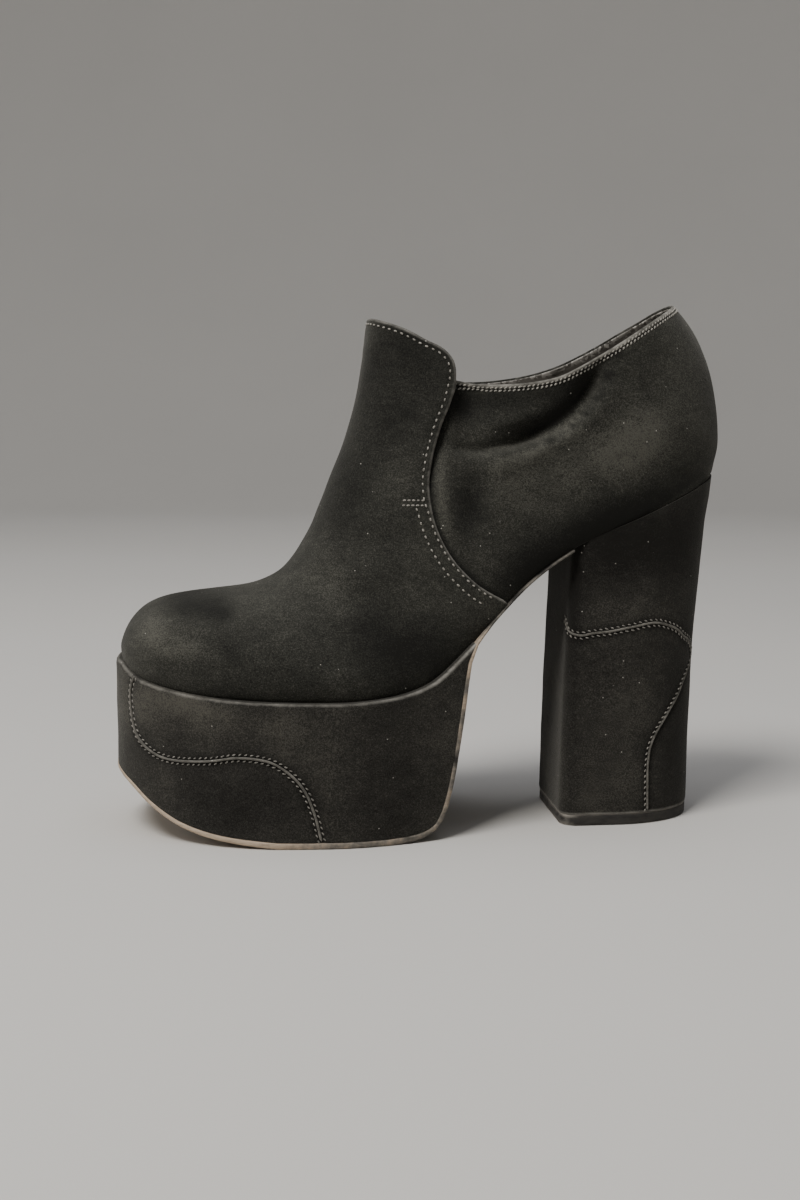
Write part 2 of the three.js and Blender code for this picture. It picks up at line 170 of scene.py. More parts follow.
# ------------------------------------------------------------------ meshes
@dataclass
class Skin:
    """An open surface as points, outward directions and faces."""

    points: Array
    normals: Array
    faces: list[tuple[int, ...]]

    @staticmethod
    def grid(points: Array, normals: Array, flip: bool = False) -> Skin:
        """A surface from a grid of points.

        Args:
            points: rows by columns by three.
            normals: the outward directions, of the same shape.
            flip: whether the faces turn the other way.

        Returns:
            The surface, with places that share a point joined.
        """
        rows, columns = points.shape[:2]
        at = np.arange(rows * columns).reshape(rows, columns)
        quads = np.stack([at[:-1, :-1], at[1:, :-1], at[1:, 1:], at[:-1, 1:]], -1).reshape(-1, 4)
        if flip:
            quads = quads[:, ::-1]
        return Skin(points.reshape(-1, 3), normals.reshape(-1, 3), [tuple(q) for q in quads]).joined()

    def joined(self) -> Skin:
        """The same surface with coinciding points made one, whatever their last digits."""
        keys = np.round(self.points + 0.00023, 3)
        _, first, back = np.unique(keys, axis=0, return_index=True, return_inverse=True)
        back = back.reshape(-1)
        normals = np.zeros((len(first), 3))
        np.add.at(normals, back, self.normals)
        faces = []
        for face in self.faces:
            ring = [int(back[k]) for k in face]
            ring = [k for i, k in enumerate(ring) if k != ring[i - 1]]
            if len(ring) > 2 and len(set(ring)) == len(ring):
                faces.append(tuple(ring))
        return Skin(self.points[first], unit(normals), faces)

    def plus(self, other: Skin) -> Skin:
        """This surface and another as one, joined where they touch."""
        moved = [tuple(k + len(self.points) for k in face) for face in other.faces]
        return Skin(
            np.vstack([self.points, other.points]),
            np.vstack([self.normals, other.normals]),
            self.faces + moved,
        ).joined()

    def rim(self) -> Array:
        """The directed edges, as pairs of point numbers, that have a face on one side only."""
        seen: dict[tuple[int, int], tuple[int, int]] = {}
        for face in self.faces:
            for a, b in zip(face, face[1:] + face[:1]):
                key = (min(a, b), max(a, b))
                if key in seen:
                    seen[key] = (-1, -1)
                else:
                    seen[key] = (a, b)
        return np.array([edge for edge in seen.values() if edge[0] >= 0])

    def wall(self, outer: Array, inner: Array, steps: int = 4, swell: float = 1.0) -> Body:
        """A wall of leather over this surface, with a rounded edge all round.

        Args:
            outer: how deep its outside lies under the surface, at each point.
            inner: how deep its inside lies.
            steps: how many faces round the edge.
            swell: how far the edge stands out, as a share of half the thickness.

        Returns:
            The closed body, with the outside's points first.
        """
        n = len(self.points)
        edges = self.rim()
        half = ((inner - outer) / 2)[:, None]
        middle = self.points - self.normals * (outer[:, None] + half)
        out = np.zeros((n, 3))
        run = self.points[edges[:, 1]] - self.points[edges[:, 0]]
        away = unit(np.cross(unit(run), self.normals[edges[:, 0]]))
        np.add.at(out, edges[:, 0], away)
        np.add.at(out, edges[:, 1], away)
        loop = np.unique(edges)
        out = unit(out)
        slot_of = np.full(n, -1)
        slot_of[loop] = np.arange(len(loop))
        layers = [self.points - self.normals * outer[:, None]]
        for k in range(1, steps):
            turn = math.pi * k / steps
            bulge = half * (self.normals * math.cos(turn) + out * math.sin(turn) * swell)
            layers.append((middle + bulge)[loop])
        layers.append(self.points - self.normals * inner[:, None])
        start = [0] + [n + (k - 1) * len(loop) for k in range(1, steps)]
        inside = n + (steps - 1) * len(loop)

        def at(layer: int, k: int) -> int:
            if layer == 0:
                return int(k)
            return int(inside + k if layer == steps else start[layer] + slot_of[k])

        faces = list(self.faces)
        faces += [tuple(inside + k for k in face[::-1]) for face in self.faces]
        for a, b in edges:
            for layer in range(steps):
                faces.append((at(layer, b), at(layer, a), at(layer + 1, a), at(layer + 1, b)))
        zones = [Zone.OUTSIDE.value] * len(self.faces) + [Zone.INSIDE.value] * len(self.faces)
        zones += [Zone.EDGE.value] * (len(edges) * steps)
        return Body(np.vstack(layers), faces, zones)


class Zone(Enum):
    """The parts of a wall that may have their own material, in the order of its slots."""

    OUTSIDE = 0
    INSIDE = 1
    EDGE = 2


@dataclass
class Body:
    """A closed body as points and faces, and which zone each face is in."""

    points: Array
    faces: list[tuple[int, ...]]
    zones: list[int] | None = None

    @staticmethod
    def through(rings: Array) -> Body:
        """A body through rings of equally many points.

        Args:
            rings: rings by points by three; a ring's direction crossed with the way to the next
                ring points out of the body.

        Returns:
            The body, closed by a face at each end, with coinciding points joined.
        """
        count, size = rings.shape[:2]
        at = np.arange(count * size).reshape(count, size)
        nxt = np.roll(at, -1, axis=1)
        quads = np.stack([at[:-1], nxt[:-1], nxt[1:], at[1:]], -1).reshape(-1, 4)
        faces = [tuple(q) for q in quads]
        faces += [tuple(at[0][::-1]), tuple(at[-1])]
        skin = Skin(rings.reshape(-1, 3), np.ones((count * size, 3)), faces).joined()
        return Body(skin.points, skin.faces)

    def made(self, name: str, frame: Frame, finishes: Sequence[bpy.types.Material],
             marks: dict[str, Array] | None = None, shade_angle: float = 50.0) -> bpy.types.Object:
        """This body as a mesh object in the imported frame.

        Args:
            name: the object's name.
            frame: where the last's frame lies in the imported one.
            finishes: the materials, in the order of the zones.
            marks: values at each point that the materials read, by name.
            shade_angle: edges sharper than this many degrees stay sharp.

        Returns:
            The new object, at the origin.
        """
        mesh = bpy.data.meshes.new(name)
        mesh.from_pydata(frame.place(self.points).tolist(), [], self.faces)
        if self.zones is not None:
            mesh.polygons.foreach_set("material_index", self.zones)
        for finish in finishes:
            mesh.materials.append(finish)
        for mark, values in (marks or {}).items():
            mesh.attributes.new(mark, "FLOAT", "POINT").data.foreach_set("value", values.astype(np.float32))
        mesh.shade_smooth()
        mesh.set_sharp_from_angle(angle=math.radians(shade_angle))
        piece = bpy.data.objects.new(name, mesh)
        bpy.context.scene.collection.objects.link(piece)
        return piece


@dataclass(frozen=True)
class Frame:
    """Where the last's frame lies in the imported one."""

    shift: tuple[float, float, float]

    @staticmethod
    def from_heel(heel_back: float) -> Frame:
        """Finds the shift from the top lift, whose back and middle are known.

        Args:
            heel_back: the x of the top lift's back in the last's frame.

        Returns:
            The frame.
        """
        low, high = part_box("top_lift")
        return Frame((high.x / MM - heel_back, (low.y + high.y) / 2 / MM, 0.0))

    def place(self, points: Array) -> Array:
        """Points of the last's frame, in millimetres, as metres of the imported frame."""
        return (np.asarray(points) + np.array(self.shift)) * MM


@dataclass(frozen=True)
class Piece:
    """A finished object, the CAD node it stands for and a slot's name, which is kept but read nowhere here.
    """

    thing: bpy.types.Object
    node: str
    slot: str

    def placed(self) -> None:
        """Ties the piece to the frame and reports it."""
        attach(self.thing, "root")
        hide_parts(self.node)
        LOG.info("%s: %d points, %d faces", self.thing.name, len(self.thing.data.vertices),
                 len(self.thing.data.polygons))


# ------------------------------------------------------------------ the last
# The sections of the last, as in the solids: a section lies in the plane through its crown point
# and its base point and along Y. Shares of LENGTH, of the height from PLATFORM up to FLAP or SEAT,
# and of BALL_WIDTH; then the section's middle and its crown from there in mm, where it is widest
# on the way from crown to base, its width at the base, and how full its crown is.
LENGTH, BALL_WIDTH, PLATFORM, SEAT, FLAP = 240.0, 95.0, 55.7, 138.7, 200.0
CROWN_X, CROWN_Z, BASE_X, BASE_Z, HALF, MID, RIDGE, WIDEST, FOOT, ROUND = range(10)
SECTIONS = np.array([
    (0.001, 0.094, 0.002, 0.14, 0, 3.8, 0, 0.8, 0.93, 2.3),
    (0, 0.114, 0.004, 0.133, 0.098, 3.8, 0, 0.8, 0.925, 2.3),
    (0.005, 0.142, 0.012, 0.11, 0.181, 3.8, 0, 0.8, 0.93, 2.3),
    (0.018, 0.182, 0.029, 0.08, 0.263, 3.6, 0.2, 0.79, 0.932, 2.3),
    (0.043, 0.22, 0.058, 0.057, 0.339, 3.1, 0.5, 0.78, 0.938, 2.35),
    (0.083, 0.244, 0.104, 0.033, 0.408, 2.4, 1.2, 0.78, 0.943, 2.35),
    (0.142, 0.258, 0.175, 0.013, 0.469, 0.9, 2.4, 0.78, 0.951, 2.3),
    (0.208, 0.271, 0.258, 0.004, 0.497, -0.9, 3.6, 0.78, 0.951, 2.2),
    (0.254, 0.3, 0.35, 0, 0.497, -2.3, 4.6, 0.79, 0.947, 2.05),
    (0.286, 0.352, 0.429, 0.014, 0.467, -2.5, 4.6, 0.8, 0.935, 1.95),
    (0.311, 0.421, 0.492, 0.059, 0.429, -2.3, 4, 0.81, 0.917, 1.95),
    (0.331, 0.5, 0.542, 0.171, 0.398, -2, 3, 0.81, 0.907, 1.98),
    (0.35, 0.581, 0.6, 0.341, 0.373, -1.5, 2, 0.8, 0.89, 2.05),
    (0.369, 0.658, 0.667, 0.534, 0.357, -0.9, 1, 0.78, 0.873, 2.15),
    (0.382, 0.728, 0.75, 0.692, 0.348, -0.4, 0.5, 0.75, 0.867, 2.3),
    (0.391, 0.788, 0.842, 0.808, 0.342, 0, 0, 0.73, 0.868, 2.4),
    (0.397, 0.841, 0.921, 0.91, 0.337, 0, 0, 0.72, 0.759, 2.5),
    (0.4, 0.872, 0.968, 0.971, 0.335, 0, 0, 0.715, 0.459, 2.55),
    (0.402, 0.893, 0.984, 0.992, 0.334, 0, 0, 0.712, 0.252, 2.55),
    (0.403, 0.913, 0.99, 1, 0.333, 0, 0, 0.71, 0, 2.6),
    (0.404, 0.924, 0.994, 1.047, 0.332, 0, 0, 0.707, 0, 2.6),
    (0.406, 0.951, 1.001, 1.16, 0.328, 0, 0, 0.7, 0, 2.65),
    (0.409, 0.99, 0.992, 1.395, 0.323, 0, 0, 0.68, 0, 2.7),
    (0.411, 1.028, 0.963, 1.642, 0.316, 0, 0, 0.66, 0, 2.7),
    (0.414, 1.069, 0.912, 1.835, 0.307, 0, 0, 0.64, 0, 2.7),
])
SEAT_BACK = 19  # the first closed ring round the ankle
TOP = len(SECTIONS) - 1

COLLAR_OUTER = [(104, 178.5), (131, 174.9), (145, 173.9), (158, 174.5), (169, 176.6), (177, 180.1),
                (185, 184.5),
                (193, 189.4), (201, 194.4), (210, 199.8), (221, 205.6), (238, 214.5)]
COLLAR_INNER = [(104, 178.5), (131, 175.6), (145, 175.1), (158, 176.1), (170, 178.3), (181, 181.8),
                (190, 186.0),
                (198.5, 190.6), (206, 195.3), (213, 199.8), (221, 205.6), (238, 215.5)]
FLAP_TOP = [(84, 204.5), (98, 200), (110, 195.8), (119, 191), (125, 188), (129, 183.5), (130.3, 177.5)]
FLAP_BACK = [(130.3, 177.5), (128.2, 168.4), (124, 158), (120.6, 146), (119.3, 135), (121.5, 121.5),
             (127, 109.7),
             (135.5, 100), (144, 94), (158, 86)]
UNDERLAP = 14.0  # the quarters run this far under the vamp and the flap
LAP = 1.2  # the vamp's leather over the quarters


class Side(Enum):
    """The two sides of the foot."""

    OUTER = -1
    INNER = 1


def column(values: Array, place: Array) -> Array:
    """A table column between its rows, on a smooth curve that never overshoots.

    Args:
        values: the column.
        place: where, counted in rows.

    Returns:
        The values there.
    """
    i = np.minimum(np.floor(place).astype(int), len(values) - 2)
    t = place - i
    rise = np.diff(values)
    product = rise[:-1] * rise[1:]
    total = np.where(product > 0, rise[:-1] + rise[1:], 1.0)
    slope = np.concatenate([rise[:1], np.where(product > 0, 2 * product / total, 0.0), rise[-1:]])
    bend = slope[i] + slope[i + 1] - 2 * rise[i]
    return values[i] + t * (slope[i] + t * (rise[i] - slope[i] - bend + t * bend))


class Last:
    """The shape the upper is pulled over, as a fine grid that can be read anywhere."""

    PER_ROW = 12
    PER_SIDE = 90

    def __init__(self) -> None:
        """Works out the grid of points and outward directions."""
        self.places = np.linspace(0, TOP, TOP * self.PER_ROW + 1)
        self.across = np.linspace(-1, 1, 2 * self.PER_SIDE + 1)
        place, across = np.meshgrid(self.places, self.across, indexing="ij")
        self.points = self._eased(self._exact(place, across))
        closed = self.places >= SEAT_BACK
        back = (self.points[closed, 0] + self.points[closed, -1]) / 2
        self.points[closed, 0] = self.points[closed, -1] = back
        along = np.gradient(self.points, axis=0)
        over = np.gradient(self.points, axis=1)
        normals = unit(np.cross(along, over))
        normals[0] = unit(normals[1] + normals[1, ::-1])
        normals[1] = unit(normals[1] + normals[2])
        heading = unit(normals[closed, 0] + normals[closed, -1])
        normals[closed, 0] = normals[closed, -1] = heading
        self.normals = normals
        self.back_line = curve(FLAP_BACK, 72)
        self.top_line = curve(FLAP_TOP, 48)
        self.free_edge = np.vstack([self.top_line, self.back_line[1:]])
        self.collar_lines = {Side.OUTER: curve(COLLAR_OUTER, 132), Side.INNER: curve(COLLAR_INNER, 132)}

    @staticmethod
    def _exact(place: Array, across: Array) -> Array:
        """Points of the last straight from the table.

        Args:
            place: how far along, in rows.
            across: from -1, the outer base, through 0, the crown, to 1, the inner base.

        Returns:
            The points.
        """
        row = [column(SECTIONS[:, k], place) for k in range(10)]
        crown_x, base_x = row[CROWN_X] * LENGTH, row[BASE_X] * LENGTH
        crown_z = PLATFORM + row[CROWN_Z] * (FLAP - PLATFORM)
        base_z = PLATFORM + row[BASE_Z] * (SEAT - PLATFORM)
        foot = np.where(place >= SEAT_BACK, 0.0, np.clip(row[FOOT], 0, 1))
        turn = np.arccos(foot)
        share = 2 * np.abs(across)
        upper = np.clip(share, 0, 1) * math.pi / 2
        lower = np.clip(share - 1, 0, 1) * turn
        cosine = np.maximum(np.cos(upper), 0.0)
        crown_part = row[WIDEST] * (1 - cosine ** (2 / row[ROUND]))
        base_part = row[WIDEST] + (1 - row[WIDEST]) * np.sin(lower) / np.sin(turn)
        on_crown = share < 1
        down = np.where(on_crown, crown_part, base_part)
        out = np.where(on_crown, np.sin(upper) ** (2 / row[ROUND]), np.cos(lower))
        y = row[MID] + row[RIDGE] * (1 - np.minimum(1, share))
        y = y + np.sign(across) * out * row[HALF] * BALL_WIDTH
        x = crown_x + (base_x - crown_x) * down
        z = crown_z + (base_z - crown_z) * down
        return np.stack([x, y, z], -1)

    def _eased(self, points: Array) -> Array:
        """Softens the small bends at the table's rows.

        Args:
            points: the exact grid.

        Returns:
            The grid, changed only away from the toe's tip, the base and the top.
        """
        eased = points.copy()
        for _ in range(14):
            eased[1:-1] = (eased[:-2] + 2 * eased[1:-1] + eased[2:]) / 4
        keep = smooth((self.places - 0.6) / 1.2) * smooth((TOP - self.places) / 0.8)
        return points + keep[:, None, None] * (eased - points)

    def at(self, place: Array, across: Array) -> tuple[Array, Array]:
        """Points and outward directions anywhere on the last.

        Args:
            place: how far along, in rows.
            across: from the outer base to the inner base, -1 to 1.

        Returns:
            The points and the directions.
        """
        u = np.clip(np.asarray(place, float) * self.PER_ROW, 0, len(self.places) - 1.000001)
        v = np.clip((np.asarray(across, float) + 1) * self.PER_SIDE, 0, 2 * self.PER_SIDE - 1e-6)
        i, j = u.astype(int), v.astype(int)
        s, t = (u - i)[..., None], (v - j)[..., None]
        found = []
        for grid in (self.points, self.normals):
            near = grid[i, j] * (1 - t) + grid[i, j + 1] * t
            far = grid[i + 1, j] * (1 - t) + grid[i + 1, j + 1] * t
            found.append(near * (1 - s) + far * s)
        return found[0], unit(found[1])

    def edge_x(self, z: Array, shift: float = 0.0) -> Array:
        """The x of the flap's and the vamp's back edge at a height, moved back by a shift."""
        line = self.back_line[::-1]
        return np.interp(z, line[:, 1], line[:, 0]) + shift

    def reach(self, place: Array, shift: float, side: Side) -> Array:
        """How far across a section goes before it meets the vamp's back edge.

        Args:
            place: the sections.
            shift: how far back the edge is moved, in mm.
            side: which side of the foot.

        Returns:
            The place across, from 0 at the crown to 1 at the base.
        """
        low, high = np.zeros_like(place), np.ones_like(place)
        for _ in range(26):
            middle = (low + high) / 2
            p, _ = self.at(place, side.value * middle)
            inside = p[..., 0] < self.edge_x(p[..., 2], shift)
            low, high = np.where(inside, middle, low), np.where(inside, high, middle)
        return np.where(high > 0.9999, 1.0, (low + high) / 2)

    def climb(self, across_of: Callable[[Array], Array], line: Array, start: float, shape: tuple) -> Array:
        """The section in which each column meets a line seen from the side.

        Args:
            across_of: gives the place across for sections, one for each column.
            line: the [x, z] line, running back.
            start: the section to start from.
            shape: the shape of the answer.

        Returns:
            The sections.
        """
        low, high = np.full(shape, start), np.full(shape, TOP - 1e-6)
        for _ in range(26):
            middle = (low + high) / 2
            p, _ = self.at(middle, across_of(middle))
            below = p[..., 2] < np.interp(p[..., 0], line[:, 0], line[:, 1])
            low, high = np.where(below, middle, low), np.where(below, high, middle)
        return (low + high) / 2

    def base(self, steps: int = 16) -> tuple[Array, Array, Array]:
        """The line where the upper meets the sole, from the toe's tip to the seat's back.

        Args:
            steps: points for each row of the table.

        Returns:
            Its [x, z] seen from the side, and its points on the outer and on the inner side.
        """
        place = np.linspace(0, SEAT_BACK, SEAT_BACK * steps + 1)
        outer, inner = self.at(place, -np.ones_like(place))[0], self.at(place, np.ones_like(place))[0]
        inner[-1] = outer[-1]
        return outer[:, [0, 2]], outer, inner


# ------------------------------------------------------------------ folds and furrows
@dataclass(frozen=True)
class Fold:
    """A soft trough, or a ridge, pressed into the leather along a line seen from the side.

    Attributes:
        line: its [x, z] points, running back.
        depth: how deep it is at its deepest; negative stands out.
        width: how wide it is, from its middle to where it is nearly gone.
        side: the side of the foot it is on, or none for both.
        above: how much of the width lies above the line, as a share.
    """

    line: tuple[tuple[float, float], ...]
    depth: float
    width: float
    side: Side | None = Side.OUTER
    above: float = 0.5

    def on(self, last: Last) -> Array:
        """The fold's line on the last's surface."""
        line = curve(self.line, 6 * (len(self.line) - 1))
        gaps = np.linalg.norm(last.points[:, : last.PER_SIDE, None, ::2] - line, axis=-1)
        nearest = gaps.reshape(-1, len(line)).argmin(0)
        return last.points[:, : last.PER_SIDE].reshape(-1, 3)[nearest]

    def depth_at(self, points: Array) -> Array:
        """How deep the fold is at points of the last.

        Args:
            points: the points.

        Returns:
            The depths.
        """
        gap, share, left = distance_to(curve(self.line, 8 * (len(self.line) - 1)), points[:, [0, 2]])
        reach = 2 * self.width * np.where(left > 0, self.above, 1 - self.above)
        ends = np.sin(math.pi * np.clip(share, 0.02, 0.98)) ** 0.6
        depth = self.depth * ends * np.exp(-((gap / np.maximum(reach, 0.1)) ** 2))
        if self.side is None:
            return depth
        return np.where(points[:, 1] * self.side.value > -4, depth, 0.0)


@dataclass(frozen=True)
class Swell:
    """A broad soft hollow, or a bulge, in the leather.

    Attributes:
        centre: its [x, z] middle seen from the side.
        depth: how deep it is; negative stands out.
        size: its half length and half height.
        tilt: how far its length is turned up towards the back, in degrees.
        side: the side of the foot it is on, or none for both.
    """

    centre: tuple[float, float]
    depth: float
    size: tuple[float, float]
    tilt: float = 0.0
    side: Side | None = Side.OUTER

    def depth_at(self, points: Array) -> Array:
        """How deep the hollow is at points of the last.

        Args:
            points: the points.

        Returns:
            The depths.
        """
        turn = math.radians(self.tilt)
        x, z = points[:, 0] - self.centre[0], points[:, 2] - self.centre[1]
        along = (x * math.cos(turn) + z * math.sin(turn)) / self.size[0]
        over = (z * math.cos(turn) - x * math.sin(turn)) / self.size[1]
        depth = self.depth * np.exp(-(along**2) - over**2)
        if self.side is None:
            return depth
        return np.where(points[:, 1] * self.side.value > -4, depth, 0.0)


QUARTER_FOLDS = (
    Fold(((148, 151.2), (155.9, 152.9), (163.4, 154.9), (170, 157.8), (175.5, 162), (179.8, 167),
          (183.2, 172.8),
          (185.6, 179.2), (188, 186)), 6.2, 3.2, above=0.66),
    Fold(((128, 150.6), (139, 150.3), (146.5, 151.1), (154, 153.7), (162, 157.5), (169.5, 162.2),
          (175.5, 166.9),
          (180.5, 172.6), (184.5, 179), (188, 187)), 3.8, 5.6, above=0.72),
    Fold(((127, 151.2), (135, 150.2), (143, 150.4), (150, 151.6), (157, 153.6), (162, 156)), 1.7, 1.9),
    Fold(((138, 144.5), (147, 145), (157, 148.5), (167, 154.5), (177, 161), (186, 168), (193, 178)), -1.8,
         5.5),
    Fold(((141, 159.5), (150, 160), (158, 162.5), (165, 167)), -0.9, 3.0),
    Fold(((150, 146), (157, 148.5), (163, 152.5)), 0.9, 1.6),
    Fold(((131.5, 172), (128, 160), (126, 148), (125.2, 137), (128, 124), (134, 112)), -1.9, 3.0),
    Fold(((126, 152), (136, 153), (146, 154), (157, 158), (168, 166), (176, 175)), 3.2, 4.8, Side.INNER,
         0.75),
    Fold(((134, 145), (148, 146), (162, 152), (174, 161)), -1.3, 6.0, Side.INNER),
)
QUARTER_SWELLS = (
    Swell((160, 169), 1.2, (19, 7), 16),
    Swell((135, 168), 2.4, (7, 8), 0),
    Swell((135.5, 130), 3.2, (6.5, 14), -8),
    Swell((156, 131), 0.8, (9, 13), -30),
    Swell((205, 158), -1.0, (26, 16), 25),
    Swell((160, 166), 1.3, (22, 9), 10, Side.INNER),
    Swell((168, 128), 0.7, (24, 10), 30, None),
)
VAMP_FOLDS = (
    Fold(((66, 101), (78, 96), (92, 93), (106, 96)), 0.7, 5.0, None),
    Fold(((72, 112), (84, 105), (98, 103), (112, 106)), -0.6, 5.0, None),
    Fold(((76, 121), (88, 116), (100, 115), (110, 117)), 0.45, 4.0, None),
)
VAMP_SWELLS = (
    Swell((38, 76), 0.5, (16, 8), -8),
    Swell((86, 78), 0.5, (18, 8), 20, None),
    Swell((112, 172), 0.7, (8, 18), 0, None),
)
# The same marks for the nap's colour: how much lighter it is there, or darker where negative. On the vamp
# they are partly real patches at the toe and partly painted light and shade: a lit toe top, painted shade low
# near the waist and over the instep.
VAMP_TONES_AND_LIGHT = (
    Swell((14, 80), 0.6, (8, 8), 0, None),
    Swell((27, 75), 0.5, (11, 5), 0, None),
    Swell((22, 99), -0.5, (16, 8), 0, None),
    Swell((27, 90), -0.8, (9, 4), 0, None),
    Swell((38, 88), -0.9, (6, 3), 0, None),
    Swell((43, 76), -0.4, (5, 6), 0, None),
    Swell((54, 90), 0.3, (12, 6), 0, None),
    Swell((108, 74), -0.9, (26, 13), 0, None),
    Swell((118, 186), -0.5, (24, 26), 0, None),
    Swell((92, 142), -0.4, (12, 30), -25, None),
    Swell((104, 160), -0.3, (30, 40), 0, None),
    Swell((110, 138), 0.4, (8, 12), 0, None),
)
# On the quarters these marks are painted light and shade: painted shade under the collar, in the hollows
# beside the flap, in the fold's crease and along the lower edge, and painted highlights on the ridge below
# the fold, on the roll beside the flap and on the quarter's back.
QUARTER_PAINTED_LIGHT = (
    Swell((160, 171), -0.5, (34, 6), 12, None),
    Swell((196, 150), 0.9, (26, 13), 30, None),
    Swell((154, 135), 0.35, (10, 12), 0),
    Swell((134.5, 127.5), -0.9, (6, 14), -8),
    Swell((133, 168), -0.9, (5, 8)),
    Fold(((124, 152), (123.8, 140), (124.4, 128), (127, 118), (131, 110)), 0.5, 2.6),
    Fold(((150, 153.5), (160, 156.5), (168, 160), (175, 165.5), (180, 173), (183.5, 181)), -1.7, 3.6,
         above=0.7),
    Fold(((146, 146.5), (158, 148.5), (168, 154), (178, 162.5), (186, 173)), 0.8, 3.4),
    Fold(((143, 88), (158, 100), (175, 110.5), (192, 119), (210, 128), (230, 140)), -1.6, 6.5, None, 0.9),
)


def pressed(marks: Sequence[Fold | Swell], points: Array) -> Array:
    """The folds and hollows added up at points of the last."""
    return sum((mark.depth_at(points) for mark in marks), np.zeros(len(points)))


# ------------------------------------------------------------------ the upper
@dataclass
class Seam:
    """A row of stitches: a line on the leather, which way is out, and the stitches' slant in degrees."""

    points: Array
    normals: Array
    slant: float = 0.0

    def spaced(self, pitch: float) -> tuple[Array, Array, Array]:
        """The stitches of the row.

        Args:
            pitch: the distance from stitch to stitch, in mm.

        Returns:
            Their middles, the ways they lie and the ways out.
        """
        run = arc(self.points)
        wanted = np.arange(pitch / 2, run[-1], pitch)
        middles, out = (np.stack([np.interp(wanted, run, v[:, k]) for k in range(3)], 1)
                        for v in (self.points, self.normals))
        along = unit(np.gradient(middles,
                                 axis=0) if len(middles) > 1 else np.diff(self.points[[0, -1]], axis=0))
        over = np.cross(out, along)
        turn = math.radians(self.slant)
        return middles, unit(along * math.cos(turn) + over * math.sin(turn)), unit(out)


